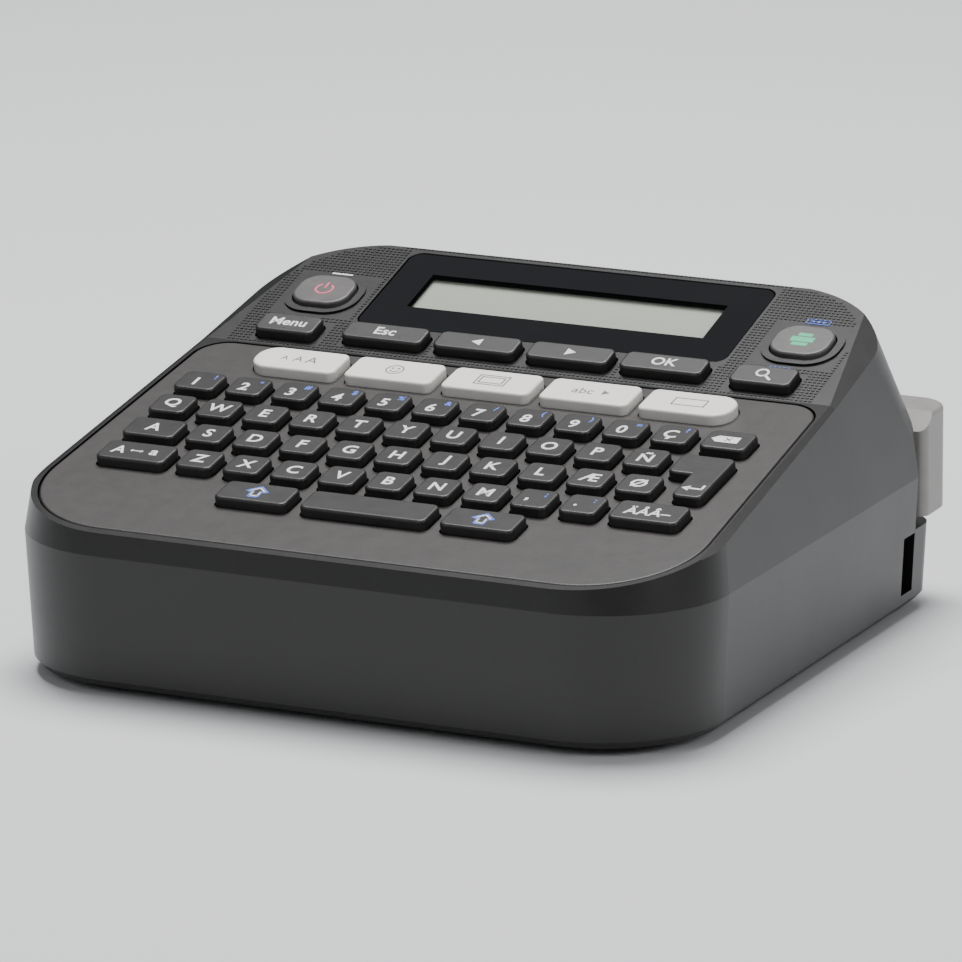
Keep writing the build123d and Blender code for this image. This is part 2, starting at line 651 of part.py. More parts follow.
JACK_X = (-75.6, -62.0)
JACK_SHOULDER = 2.8
JACK_HALF_HEIGHT = 5.5
JACK_BORE = 2.75
JACK_BORE_DEPTH = 9.5
JACK_PIN = 0.85
with BuildPart() as dc_jack:
    body_low = (JACK_X[0] + JACK_SHOULDER, JACK_Y[0], JACK_Z - JACK_HALF_HEIGHT)
    add(block(body_low, (JACK_X[1], JACK_Y[1], JACK_Z + JACK_HALF_HEIGHT)))
    for start, radius, length, mode in (
        (0, JACK_MOUTH_RADIUS, JACK_SHOULDER + 1, Mode.ADD),
        (0, JACK_BORE, JACK_BORE_DEPTH, Mode.SUBTRACT),
        (1.5, JACK_PIN, JACK_BORE_DEPTH, Mode.ADD),
    ):
        with BuildSketch(Plane.YZ.offset(JACK_X[0] + start)):
            with Locations((sum(JACK_Y) / 2, JACK_Z)):
                Circle(radius)
        extrude(amount=length, mode=mode)
save(dc_jack, "dc_jack")

# --------------------------------------------------------------------------
# Batteries

NUB_RADIUS = 1.9
NUB_LENGTH = 0.8

with BuildPart() as batteries:
    for side in (-1, 1):
        for row, y in enumerate(BATTERY_ROWS_Y):
            start = side * BATTERY_X - (BATTERY_LENGTH - NUB_LENGTH) / 2
            nub_at_end = row % 2 == 0
            with BuildSketch(Plane.YZ.offset(start)):
                with Locations((y, BATTERY_Z)):
                    Circle(BATTERY_RADIUS)
            extrude(amount=BATTERY_LENGTH - NUB_LENGTH)
            nub_start = start + BATTERY_LENGTH - NUB_LENGTH if nub_at_end else start - NUB_LENGTH
            with BuildSketch(Plane.YZ.offset(nub_start)):
                with Locations((y, BATTERY_Z)):
                    Circle(NUB_RADIUS)
            extrude(amount=NUB_LENGTH)
save(batteries, "batteries")

with BuildPart() as battery_contacts:
    contact_x = BATTERY_X + BATTERY_LENGTH / 2 + 1.0
    inner_x = BATTERY_X - BATTERY_LENGTH / 2 - 1.0
    for y in BATTERY_ROWS_Y:
        for x in (-contact_x, -inner_x, inner_x, contact_x):
            add(block((x - 0.2, y - 4, 5.0), (x + 0.2, y + 4, 14.8)))
save(battery_contacts, "battery_contacts")

# --------------------------------------------------------------------------
# Tape cassette

(CAS_X0, CAS_Y0, CAS_Z0), (CAS_X1, CAS_Y1, CAS_Z1) = CASSETTE_BOX
NOTCH_X = 14.0
NOTCH_Y = 44.4
LID_THICKNESS = 1.6
TAPE_SPOOL = (-26.0, 24.0)
TAPE_SPOOL_RADIUS = 16.0
RIBBON_SPOOL = (8.0, 14.0)
RIBBON_SPOOL_RADIUS = 8.5
TAKE_UP_RADIUS = 7.4
SPOOL_BORE = 2.6
SPINDLE_RADIUS = 2.2
SPINDLE_WINDOW = 4.0
SPOOL_Z = (CAS_Z0 + CASSETTE_WALL + 0.4, CAS_Z1 - LID_THICKNESS - 0.4)


def cassette_outline(z, inset):
    """Plan of the cassette with the notch at its print corner."""
    points = [
        (CAS_X0 + inset, CAS_Y0 + inset),
        (CAS_X1 - inset, CAS_Y0 + inset),
        (CAS_X1 - inset, NOTCH_Y - inset),
        (NOTCH_X - inset, NOTCH_Y - inset),
        (NOTCH_X - inset, CAS_Y1 - inset),
        (CAS_X0 + inset, CAS_Y1 - inset),
    ]
    with BuildSketch(Plane.XY.offset(z)) as outline:
        with BuildLine():
            Polyline(*points, close=True)
        make_face()
        fillet(outline.vertices().sort_by(Axis.X)[:2], 3 - inset)
    return outline.sketch


def mesh_place(start, teeth_a, teeth_b, heading):
    """Centre of a gear in mesh with another, in the direction given in degrees."""
    distance = GEAR_MODULE * (teeth_a + teeth_b) / 2 + GEAR_SLACK
    return start[0] + distance * cos(radians(heading)), start[1] + distance * sin(radians(heading))


# The idler stands square to the roller holder's arm, so the gears part without rubbing
IDLER_HEADING = -74.2
SPINDLE_HEADING = 200.0
MOTOR_HEADING = -60.0
IDLER_CENTRE = mesh_place(PLATEN_CENTRE, PLATEN_TEETH, IDLER_TEETH, IDLER_HEADING)
SPINDLE_CENTRE = mesh_place(IDLER_CENTRE, IDLER_TEETH, SPINDLE_TEETH, SPINDLE_HEADING)
MOTOR_CENTRE = mesh_place(IDLER_CENTRE, IDLER_TEETH, MOTOR_TEETH, MOTOR_HEADING)
IDLER_PHASE = 0.0


def mesh_phase(teeth_a, phase_a, teeth_b, heading):
    """Rotation of gear b, in degrees, that puts its gap on gear a's tooth."""
    pitch_a = 360 / teeth_a
    offset = (phase_a - heading + pitch_a / 2) % pitch_a - pitch_a / 2
    return heading + 180 + 180 / teeth_b - offset * teeth_a / teeth_b


def gear_sketch(plane, centre, teeth, phase):
    """Spur gear outline with straight-sided teeth and generous backlash."""
    pitch_radius = GEAR_MODULE * teeth / 2
    root = pitch_radius - 1.15 * GEAR_MODULE
    tip = pitch_radius + 0.85 * GEAR_MODULE
    pitch = 2 * pi / teeth
    corners = ((-0.30, root), (-0.12, tip), (0.12, tip), (0.30, root))
    points = []
    for tooth in range(teeth):
        for share, radius in corners:
            angle = radians(phase) + pitch * (tooth + share)
            points.append((centre[0] + radius * cos(angle), centre[1] + radius * sin(angle)))
    with BuildSketch(plane) as outline:
        with BuildLine():
            Polyline(*points, close=True)
        make_face()
    return outline.sketch


with BuildPart() as cassette_base:
    extrude(cassette_outline(CAS_Z0, 0), amount=CAS_Z1 - LID_THICKNESS - CAS_Z0)
    inner_height = CAS_Z1 - LID_THICKNESS - CAS_Z0 - CASSETTE_WALL
    inner_outline = cassette_outline(CAS_Z0 + CASSETTE_WALL, CASSETTE_WALL)
    extrude(inner_outline, amount=inner_height, mode=Mode.SUBTRACT)
    exit_low = (NOTCH_X - 4, TAPE_Y - 1.2, TAPE_LOW_Z - 0.5)
    exit_high = (NOTCH_X + 4, TAPE_Y + 1.2, TAPE_LOW_Z + TAPE_WIDTH + 0.5)
    add(block(exit_low, exit_high), mode=Mode.SUBTRACT)
    add(disc_group([SPINDLE_CENTRE], SPINDLE_WINDOW, 0, CAS_Z1), mode=Mode.SUBTRACT)
    add(disc_group([TAPE_SPOOL, RIBBON_SPOOL], 2.3, CAS_Z0, SPOOL_Z[1]))
save(cassette_base, "cassette_base")

with BuildPart() as cassette_lid:
    extrude(cassette_outline(CAS_Z1 - LID_THICKNESS, 0), amount=LID_THICKNESS)
    add(disc_group([SPINDLE_CENTRE], SPINDLE_WINDOW, 0, CAS_Z1 + 1), mode=Mode.SUBTRACT)
save(cassette_lid, "cassette_lid")

for name, centre, radius in (
    ("tape_spool", TAPE_SPOOL, TAPE_SPOOL_RADIUS),
    ("ribbon_spool", RIBBON_SPOOL, RIBBON_SPOOL_RADIUS),
):
    with BuildPart() as spool:
        add(disc_group([centre], radius, SPOOL_Z[0], SPOOL_Z[1]))
        add(disc_group([centre], SPOOL_BORE - 0.25, 0, CAS_Z1), mode=Mode.SUBTRACT)
        add(disc_group([centre], radius + 1, SPOOL_Z[1] - 0.6, SPOOL_Z[1] + 1), mode=Mode.SUBTRACT)
    save(spool, name)

with BuildPart() as take_up_spool:
    add(disc_group([SPINDLE_CENTRE], TAKE_UP_RADIUS, SPOOL_Z[0], SPOOL_Z[1]))
    add(disc_group([SPINDLE_CENTRE], SPOOL_BORE, 0, CAS_Z1), mode=Mode.SUBTRACT)
save(take_up_spool, "take_up_spool")

TAPE_END_X = 58.8
with BuildPart() as label_tape:
    with BuildSketch(Plane.XY.offset(TAPE_LOW_Z)):
        with BuildLine():
            tape_start = (TAPE_SPOOL[0], TAPE_SPOOL[1] + TAPE_SPOOL_RADIUS + 0.4)
            tape_line = Polyline(tape_start, (10, TAPE_Y), (TAPE_END_X, TAPE_Y))
        trace(tape_line, line_width=TAPE_THICKNESS)
    extrude(amount=TAPE_WIDTH)
save(label_tape, "label_tape")

# --------------------------------------------------------------------------
# Printing mechanism

HEAD_X = (18.5, 29.5)
HEAD_FACE_Y = 49.6
SINK_FACE_Y = 47.6
MOTOR_RADIUS = 7.5
MOTOR_LOW_Z = 31.6
MOTOR_HIGH_Z = 44.8
MOTOR_DECK_Z = 30.6
HOLDER_LOW = (4.9, 6.1)
HOLDER_HIGH = (21.0, 22.4)

with BuildPart() as mechanism_frame:
    add(block((-50, -0.4, CHASSIS_Z), (45.4, 62.2, CHASSIS_Z + CHASSIS_THICKNESS)))
    add(block((-50, -0.4, CAS_Z0), (-48.4, 40, CHASSIS_Z)))
    add(block((-50, -1.9, TRAY_Z), (45.4, -0.4, CHASSIS_Z + CHASSIS_THICKNESS)))
    add(block((-57.4, -65, TRAY_Z), (57.4, -0.4, TRAY_Z + CHASSIS_THICKNESS)))
    for side in (-1, 1):
        edges = sorted((side * 55.9, side * 57.4))
        add(block((edges[0], -63, FLOOR_Z + WALL), (edges[1], -0.4, TRAY_Z)))
    for y in (-52.0, -40.0):
        add(block((-46, y - 0.3, 13.0), (46, y + 0.3, TRAY_Z)))
    add(block((-46, -27.6, CAS_Z0), (46, -26.4, TRAY_Z)))
    for spread in (-1, 1):
        post_low = (MOTOR_CENTRE[0] + spread * 6.5 - 1.2, MOTOR_CENTRE[1] - 4.6, CHASSIS_Z)
        post_high = (MOTOR_CENTRE[0] + spread * 6.5 + 1.2, MOTOR_CENTRE[1] - 2.2, MOTOR_DECK_Z)
        add(block(post_low, post_high))
    add(block(
        (MOTOR_CENTRE[0] - 7.7, MOTOR_CENTRE[1] - 7, MOTOR_DECK_Z),
        (MOTOR_CENTRE[0] + 7.7, MOTOR_CENTRE[1] + 5, MOTOR_LOW_Z),
    ))
    add(disc_group([MOTOR_CENTRE], 2.2, MOTOR_DECK_Z - 1, MOTOR_LOW_Z + 1), mode=Mode.SUBTRACT)
    add(disc_group([PLATEN_CENTRE], 3.6, CHASSIS_Z - 1, GEAR_Z), mode=Mode.SUBTRACT)
    spindle_bore = disc_group([SPINDLE_CENTRE], SPINDLE_RADIUS + RUNNING_GAP, CHASSIS_Z - 1, GEAR_Z)
    add(spindle_bore, mode=Mode.SUBTRACT)
    add(disc_group([IDLER_CENTRE], PIN_RADIUS, CHASSIS_Z, GEAR_Z + GEAR_WIDTH + 1))
    add(disc_group([HOLDER_PIVOT], PIN_RADIUS, FLOOR_Z + WALL + 0.4, CHASSIS_Z))
save(mechanism_frame, "mechanism_frame")

with BuildPart() as motor:
    add(disc_group([MOTOR_CENTRE], MOTOR_RADIUS, MOTOR_LOW_Z, MOTOR_HIGH_Z))
    fillet(motor.edges().filter_by(GeomType.CIRCLE), 0.8)
    add(disc_group([MOTOR_CENTRE], 1.9, MOTOR_DECK_Z + 0.2, MOTOR_LOW_Z))
save(motor, "motor")

with BuildPart() as motor_pinion:
    phase = mesh_phase(IDLER_TEETH, IDLER_PHASE, MOTOR_TEETH, MOTOR_HEADING)
    extrude(gear_sketch(Plane.XY.offset(GEAR_Z), MOTOR_CENTRE, MOTOR_TEETH, phase), amount=GEAR_WIDTH)
    add(disc_group([MOTOR_CENTRE], 0.8, GEAR_Z, MOTOR_DECK_Z + 0.1))
save(motor_pinion, "motor_pinion")

with BuildPart() as idler_gear:
    wheel = gear_sketch(Plane.XY.offset(GEAR_Z), IDLER_CENTRE, IDLER_TEETH, IDLER_PHASE)
    extrude(wheel, amount=GEAR_WIDTH)
    bore = disc_group([IDLER_CENTRE], PIN_RADIUS + RUNNING_GAP, GEAR_Z - 1, GEAR_Z + GEAR_WIDTH + 1)
    add(bore, mode=Mode.SUBTRACT)
    with BuildSketch(Plane.XY.offset(GEAR_Z + GEAR_WIDTH)):
        with Locations(IDLER_CENTRE):
            with PolarLocations(6.2, 6):
                Circle(1.7)
    extrude(amount=-GEAR_WIDTH, mode=Mode.SUBTRACT)
save(idler_gear, "idler_gear")

with BuildPart() as ribbon_spindle:
    phase = mesh_phase(IDLER_TEETH, IDLER_PHASE, SPINDLE_TEETH, SPINDLE_HEADING)
    wheel = gear_sketch(Plane.XY.offset(GEAR_Z), SPINDLE_CENTRE, SPINDLE_TEETH, phase)
    extrude(wheel, amount=GEAR_WIDTH)
    add(disc_group([SPINDLE_CENTRE], SPINDLE_RADIUS, SPOOL_Z[0], GEAR_Z))
    for turn in (0, 60, 120):
        with BuildSketch(Plane.XY.offset(SPOOL_Z[0])):
            with Locations(SPINDLE_CENTRE):
                Rectangle(4.9, 0.8, rotation=turn)
        extrude(amount=SPOOL_Z[1] - SPOOL_Z[0])
save(ribbon_spindle, "ribbon_spindle")

with BuildPart() as platen_shaft:
    phase = mesh_phase(IDLER_TEETH, IDLER_PHASE, PLATEN_TEETH, IDLER_HEADING + 180)
    extrude(gear_sketch(Plane.XY.offset(GEAR_Z), PLATEN_CENTRE, PLATEN_TEETH, phase), amount=GEAR_WIDTH)
    add(disc_group([PLATEN_CENTRE], PIN_RADIUS, HOLDER_LOW[0] - 0.3, GEAR_Z))
save(platen_shaft, "platen_shaft")

with BuildPart() as platen_roller:
    add(disc_group([PLATEN_CENTRE], PLATEN_RADIUS, HOLDER_LOW[1] + 0.3, HOLDER_HIGH[0] - 0.4))
    add(disc_group([PLATEN_CENTRE], PIN_RADIUS, 0, GEAR_Z), mode=Mode.SUBTRACT)
save(platen_roller, "platen_roller")

with BuildPart() as roller_holder:
    for low_z, high_z in (HOLDER_LOW, HOLDER_HIGH):
        with BuildSketch(Plane.XY.offset(low_z)):
            with BuildLine():
                Polyline(
                    (PLATEN_CENTRE[0] - 3, PLATEN_CENTRE[1] - 2.6),
                    (PLATEN_CENTRE[0] + 4, PLATEN_CENTRE[1] - 2.6),
                    (HOLDER_PIVOT[0], HOLDER_PIVOT[1] - 3),
                    (HOLDER_PIVOT[0], HOLDER_PIVOT[1] + 0.9),
                    (PLATEN_CENTRE[0] - 3, HOLDER_PIVOT[1] + 0.9),
                    close=True,
                )
            make_face()
        extrude(amount=high_z - low_z)
    wall_low = (PLATEN_CENTRE[0] - 3, HOLDER_PIVOT[1] - 0.2, HOLDER_LOW[0])
    wall_high = (HOLDER_PIVOT[0], HOLDER_PIVOT[1] + 0.9, HOLDER_HIGH[1])
    add(block(wall_low, wall_high))
    add(disc_group([HOLDER_PIVOT], 2.8, HOLDER_LOW[0], HOLDER_HIGH[1]))
    add(disc_group([HOLDER_PIVOT], PIN_RADIUS + RUNNING_GAP, 0, CHASSIS_Z), mode=Mode.SUBTRACT)
    add(disc_group([PLATEN_CENTRE], PIN_RADIUS + RUNNING_GAP, 0, CHASSIS_Z), mode=Mode.SUBTRACT)
save(roller_holder, "roller_holder")

with BuildPart() as print_head:
    add(block((HEAD_X[0], SINK_FACE_Y, 6.5), (HEAD_X[1], HEAD_FACE_Y, 20.0)))
save(print_head, "print_head")

with BuildPart() as head_heat_sink:
    add(block((HEAD_X[0], SINK_FACE_Y - 1.6, CAS_Z0 + 0.6), (HEAD_X[1], SINK_FACE_Y, CHASSIS_Z)))
    for rib in range(4):
        x = HEAD_X[0] + 1 + rib * 2.8
        add(block((x, SINK_FACE_Y - 2.6, CAS_Z0 + 0.6), (x + 1, SINK_FACE_Y - 1.6, CHASSIS_Z)))
save(head_heat_sink, "head_heat_sink")

# --------------------------------------------------------------------------
# Tape cutter

SPRING_Z = (FLOOR_Z + WALL + 9.0, LEVER_BOTTOM - 0.8)
SPRING_RADIUS = 2.3
SPRING_WIRE = 0.3
SPRING_TURNS = 6

with BuildPart() as cutter_lever:
    with BuildSketch(Plane.XY.offset(LEVER_BOTTOM)):
        with BuildLine():
            FilletPolyline(
                (POCKET_LEFT_X + 1.2, LEVER_PIVOT[1] - 3.2),
                (LEVER_SIDE_X, LEVER_PIVOT[1] - 1.6),
                (LEVER_SIDE_X - 0.6, LEVER_REAR_Y),
                (POCKET_LEFT_X + 12, LEVER_REAR_Y),
                (POCKET_LEFT_X + 1.2, LEVER_PIVOT[1] + 4.4),
                radius=[2.0, 2.0, 7.0, 4.0, 2.0],
                close=True,
            )
        make_face()
    extrude(amount=LEVER_TOP - LEVER_BOTTOM)
    nose = tilted_plane(LEVER_PIVOT[1] + 1.0, LEVER_TOP, LEVER_NOSE_TILT)
    split(bisect_by=nose.offset(-1.0), keep=Keep.BOTTOM)
    fillet(cutter_lever.faces().sort_by(Axis.Z)[-1].edges().sort_by(Axis.Y)[-3:], 1.0)
    add(disc_group([LEVER_PIVOT], PIN_RADIUS + RUNNING_GAP, 0, LEVER_TOP + 1), mode=Mode.SUBTRACT)
save(cutter_lever, "cutter_lever")

with BuildPart() as cutter_blade:
    with BuildSketch(Plane.YZ.offset(BLADE_X)):
        with BuildLine():
            Polyline(
                (TAPE_Y + 0.9, 6.0),
                (TAPE_Y + 1.7, LEVER_BOTTOM - 0.2),
                (TAPE_Y + 8.5, LEVER_BOTTOM - 0.2),
                (TAPE_Y + 8.5, LEVER_BOTTOM),
                (TAPE_Y + 11.0, LEVER_BOTTOM),
                (TAPE_Y + 11.0, 6.0),
                close=True,
            )
        make_face()
    extrude(amount=0.8)
save(cutter_blade, "cutter_blade")

with BuildPart() as cutter_anvil:
    add(block((55.9, 43.0, FLOOR_Z + WALL), (58.6, 49.4, 21.0)))
save(cutter_anvil, "cutter_anvil")

with BuildPart() as lever_spring:
    with BuildLine():
        coil = Helix(
            pitch=(SPRING_Z[1] - SPRING_Z[0]) / SPRING_TURNS,
            height=SPRING_Z[1] - SPRING_Z[0],
            radius=SPRING_RADIUS,
            center=(LEVER_PIVOT[0], LEVER_PIVOT[1], SPRING_Z[0]),
        )
    with BuildSketch(Plane(origin=coil @ 0, z_dir=coil % 0)):
        Circle(SPRING_WIRE)
    sweep()
save(lever_spring, "lever_spring")
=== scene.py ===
import json
import math

import bmesh
import bpy
from bpy.props import FloatProperty, FloatVectorProperty, PointerProperty
from mathutils import Matrix, Vector


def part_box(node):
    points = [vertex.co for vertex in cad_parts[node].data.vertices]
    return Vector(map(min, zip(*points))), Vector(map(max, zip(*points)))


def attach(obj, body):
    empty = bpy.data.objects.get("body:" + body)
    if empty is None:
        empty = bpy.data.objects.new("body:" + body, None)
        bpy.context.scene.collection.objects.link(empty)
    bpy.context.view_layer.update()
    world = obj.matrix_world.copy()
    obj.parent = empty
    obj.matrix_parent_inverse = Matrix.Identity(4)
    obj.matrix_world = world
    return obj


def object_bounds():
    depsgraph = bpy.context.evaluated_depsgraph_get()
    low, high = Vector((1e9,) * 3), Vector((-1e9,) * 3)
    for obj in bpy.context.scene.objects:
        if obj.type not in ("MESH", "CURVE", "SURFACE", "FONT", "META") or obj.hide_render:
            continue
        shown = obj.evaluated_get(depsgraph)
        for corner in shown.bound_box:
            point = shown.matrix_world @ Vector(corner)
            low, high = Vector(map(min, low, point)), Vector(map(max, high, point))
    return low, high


bl_info = {
    "name": "Label Maker",
    "version": (1, 0, 0),
    "blender": (4, 5, 0),
    "location": "View3D > Sidebar > Label Maker",
    "description": "Finishes, legends and stage for a desktop label maker built around its CAD frame",
    "category": "Object",
}

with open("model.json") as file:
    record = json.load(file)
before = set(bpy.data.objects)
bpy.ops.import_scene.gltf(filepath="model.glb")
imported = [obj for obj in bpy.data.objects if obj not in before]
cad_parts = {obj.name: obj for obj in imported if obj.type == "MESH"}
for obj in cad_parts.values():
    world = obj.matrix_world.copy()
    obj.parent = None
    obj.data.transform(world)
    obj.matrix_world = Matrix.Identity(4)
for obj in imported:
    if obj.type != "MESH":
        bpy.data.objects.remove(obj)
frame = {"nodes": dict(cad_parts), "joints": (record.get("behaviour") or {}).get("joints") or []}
CAD_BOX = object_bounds()
NODES = frame["nodes"]
JOINT_AXES = {joint["child"]: Vector(joint["axis"]) for joint in frame["joints"]}
MM = 0.001
ACROSS = Vector((1, 0, 0))
# A cap's top and rounded edge lie within CAP_BAND of its height. Its two sides are over SIDE_GAP apart.
CAP_BAND = 0.7 * MM
SIDE_GAP = 1.5 * MM
# The cells' centres lie this far to each side of the middle, and the band on a
# cell's outer end starts this far from its centre
CELL_CENTRE = 25.5 * MM
CELL_BAND_START = 12 * MM
SCREEN_DOT = 0.55 * MM
FILM_PITCH = 0.6 * MM

# --------------------------------------------------------------------------
# Keys: where each cap's top lies, read from the frame


class KeyTop:
    """The flat top of one key cap, with its directions and its size."""

    def __init__(self, left, right, front, rear, height, normal):
        self.normal = normal
        self.up = normal.cross(ACROSS)
        self.left, self.right, self.front, self.rear = left, right, front, rear
        self.width = right - left
        self.depth = rear - front
        self.height = height

    def place(self, x=0.0, y=0.0):
        """Matrix that lays a flat drawing on the cap, x and y away from its centre."""
        centre = ACROSS * ((self.left + self.right) / 2 + x)
        centre += self.up * ((self.front + self.rear) / 2 + y) + self.normal * self.height
        turn = Matrix((ACROSS, self.up, self.normal)).transposed().to_4x4()
        return Matrix.Translation(centre) @ turn


def key_tops(node):
    """The caps of a key node from left to right. Each cap's points lie in its two rounded sides."""
    normal = JOINT_AXES[node]
    up = normal.cross(ACROSS)
    points = [vertex.co for vertex in NODES[node].data.vertices]
    height = max(point.dot(normal) for point in points)
    rim = sorted((p.x, p.dot(up)) for p in points if height - p.dot(normal) < CAP_BAND)
    sides = [[rim[0]]]
    for point in rim[1:]:
        if point[0] - sides[-1][-1][0] > SIDE_GAP:
            sides.append([])
        sides[-1].append(point)
    tops = []
    for left, right in zip(sides[0::2], sides[1::2]):
        ys = [point[1] for point in left + right]
        tops.append(KeyTop(left[0][0], right[-1][0], min(ys), max(ys), height, normal))
    return tops


def whole_top(node):
    """One key top over all of a node's points, for a cap that isn't a plain rectangle."""
    tops = key_tops(node)
    first = tops[0]
    points = [vertex.co for vertex in NODES[node].data.vertices]
    rim = [p for p in points if first.height - p.dot(first.normal) < CAP_BAND]
    xs = [p.x for p in rim]
    ys = [p.dot(first.up) for p in rim]
    return KeyTop(min(xs), max(xs), min(ys), max(ys), first.height, first.normal)


# --------------------------------------------------------------------------
# Shader maths as expressions


class Wire:
    """One socket of a node tree, with the operators that add Math nodes."""

    def __init__(self, net, socket):
        self.net = net
        self.socket = socket

    def __add__(self, other):
        return self.net.math("ADD", self, other)

    def __sub__(self, other):
        return self.net.math("SUBTRACT", self, other)

    def __rsub__(self, other):
        return self.net.math("SUBTRACT", other, self)

    def __mul__(self, other):
        return self.net.math("MULTIPLY", self, other)

    def __truediv__(self, other):
        return self.net.math("DIVIDE", self, other)

    def __gt__(self, other):
        return self.net.math("GREATER_THAN", self, other)

    def __lt__(self, other):
        return self.net.math("LESS_THAN", self, other)

    def __abs__(self):
        return self.net.math("ABSOLUTE", self)

    def clamp(self):
        return self.net.math("MINIMUM", self.net.math("MAXIMUM", self, 0.0), 1.0)

    def ramp(self, low, high):
        """0 below low, 1 above high."""
        return ((self - low) / (high - low)).clamp()

    __radd__ = __add__
    __rmul__ = __mul__


class Net:
    """A node tree that is written as expressions on its sockets."""

    def __init__(self, tree):
        self.tree = tree

    def node(self, kind, settings=None, output=0, **values):
        """Adds one node, its settings first, then its inputs by name or as in_0, in_1."""
        made = self.tree.nodes.new(kind)
        for name, value in (settings or {}).items():
            setattr(made, name, value)
        for name, value in values.items():
            key = int(name[3:]) if name.startswith("in_") else name.replace("_", " ")
            self.feed(made.inputs[key], value)
        return Wire(self, made.outputs[output])

    def feed(self, socket, value):
        """Links a wire to a socket, or sets the socket's own value."""
        if isinstance(value, Wire):
            self.tree.links.new(value.socket, socket)
        else:
            socket.default_value = value

    def math(self, operation, first, second=0.0):
        return self.node("ShaderNodeMath", {"operation": operation}, in_0=first, in_1=second)

    def mix(self, share, first, second):
        """Blends two colours."""
        made = self.tree.nodes.new("ShaderNodeMix")
        made.data_type = "RGBA"
        self.feed(made.inputs[0], share)
        self.feed(made.inputs[6], first)
        self.feed(made.inputs[7], second)
        return Wire(self, made.outputs[2])


def rgba(colour):
    return (*colour[:3], 1.0)


class Finish:
    """A material being made: its Principled shader, Object coordinates and noise."""

    def __init__(self, name, roughness=0.45, metallic=0.0, **constants):
        self.material = bpy.data.materials.new(name)
        self.material.use_nodes = True
        self.net = Net(self.material.node_tree)
        self.shader = self.material.node_tree.nodes["Principled BSDF"]
        self.set(Roughness=roughness, Metallic=metallic, **constants)
        self.where = self.net.node("ShaderNodeTexCoord", output=3)

    def set(self, **values):
        for name, value in values.items():
            self.net.feed(self.shader.inputs[name.replace("_", " ")], value)

    def axes(self):
        """The three Object coordinates, in metres."""
        split = self.net.tree.nodes.new("ShaderNodeSeparateXYZ")
        self.net.feed(split.inputs[0], self.where)
        return [Wire(self.net, socket) for socket in split.outputs]

    def noise(self, size, detail=3.0, roughness=0.5):
        """Noise from 0 to 1 with features of about one size, in metres."""
        return self.net.node(
            "ShaderNodeTexNoise", Vector=self.where, Scale=1 / size, Detail=detail, Roughness=roughness
        )

    def bump(self, height, distance, strength=1.0):
        """Raises the surface by a height from 0 to 1 times a distance in metres."""
        normal = self.net.node("ShaderNodeBump", Strength=strength, Distance=distance, Height=height)
        self.set(Normal=normal)


def moulded(name, colour, roughness, grain=0.00035, depth=0.00002, spread=0.06, shade=0.18):
    """Moulded plastic: spark-eroded grain, slightly uneven gloss and faint handling marks."""
    finish = Finish(name, roughness)
    fine = finish.noise(grain, 2.0)
    broad = finish.noise(0.018, 3.0)
    marks = finish.noise(0.0035, 4.0, 0.65)
    finish.set(Roughness=roughness + (broad - 0.5) * spread + (marks - 0.5) * spread)
    dark = rgba([channel * (1 - shade) for channel in colour])
    light = rgba([min(1.0, channel * (1 + shade)) for channel in colour])
    finish.set(Base_Color=finish.net.mix(marks.ramp(0.25, 0.75), dark, light))
    finish.bump(fine, depth)
    return finish.material


def printed(name, colour, roughness=0.5):
    """Printed or laser-marked ink, with a slightly uneven coat."""
    finish = Finish(name, roughness)
    cover = finish.noise(0.0004, 2.0)
    thin = rgba([channel * 0.82 for channel in colour])
    finish.set(Base_Color=finish.net.mix(cover.ramp(0.3, 0.6), thin, rgba(colour)))
    finish.set(Roughness=roughness + (cover - 0.5) * 0.1)
    return finish.material


def metal(name, colour, roughness, brush=0.0006):
    """Bright metal with fine drawing lines along Z."""
    finish = Finish(name, roughness, metallic=1.0)
    x, y, z = finish.axes()
    lines = finish.net.node("ShaderNodeCombineXYZ", in_0=x * 40.0, in_1=y * 40.0, in_2=z * 2.0)
    drawn = finish.net.node("ShaderNodeTexNoise", Vector=lines, Scale=1 / (brush * 40), Detail=2.0)
    finish.set(Roughness=roughness + (drawn - 0.5) * 0.18)
    tint = rgba([channel * 0.86 for channel in colour])
    finish.set(Base_Color=finish.net.mix(drawn, tint, rgba(colour)))
    finish.bump(drawn, 0.000008)
    return finish.material


def rubber(name, colour, roughness=0.75):
    """Matte rubber with a dusty, finely pitted skin."""
    finish = Finish(name, roughness)
    dust = finish.noise(0.0018, 5.0, 0.6)
    pits = finish.noise(0.0003, 2.0)
    dusty = rgba([channel * 1.7 + 0.01 for channel in colour])
    finish.set(Base_Color=finish.net.mix(dust.ramp(0.45, 0.8) * 0.6, rgba(colour), dusty))
    finish.set(Roughness=roughness + (dust - 0.5) * 0.2)
    finish.bump(pits, 0.00003)
    return finish.material


def window_acrylic(name, clear, slope):
    """Polished black window, printed black behind except over the display."""
    finish = Finish(name, 0.06, Specular_IOR_Level=0.6, Coat_Weight=0.4, Coat_Roughness=0.03)
    x, y, z = finish.axes()
    along = y * math.cos(slope) + z * math.sin(slope)
    left, right, front, rear = clear
    inside = (x > left) * (x < right) * (along > front) * (along < rear)
    smear = finish.noise(0.02, 4.0, 0.6)
    finish.set(Base_Color=rgba((0.006, 0.006, 0.007)))
    finish.set(Roughness=0.05 + smear.ramp(0.45, 0.8) * 0.07)
    finish.set(Alpha=1.0 - inside * 0.9)
    return finish.material


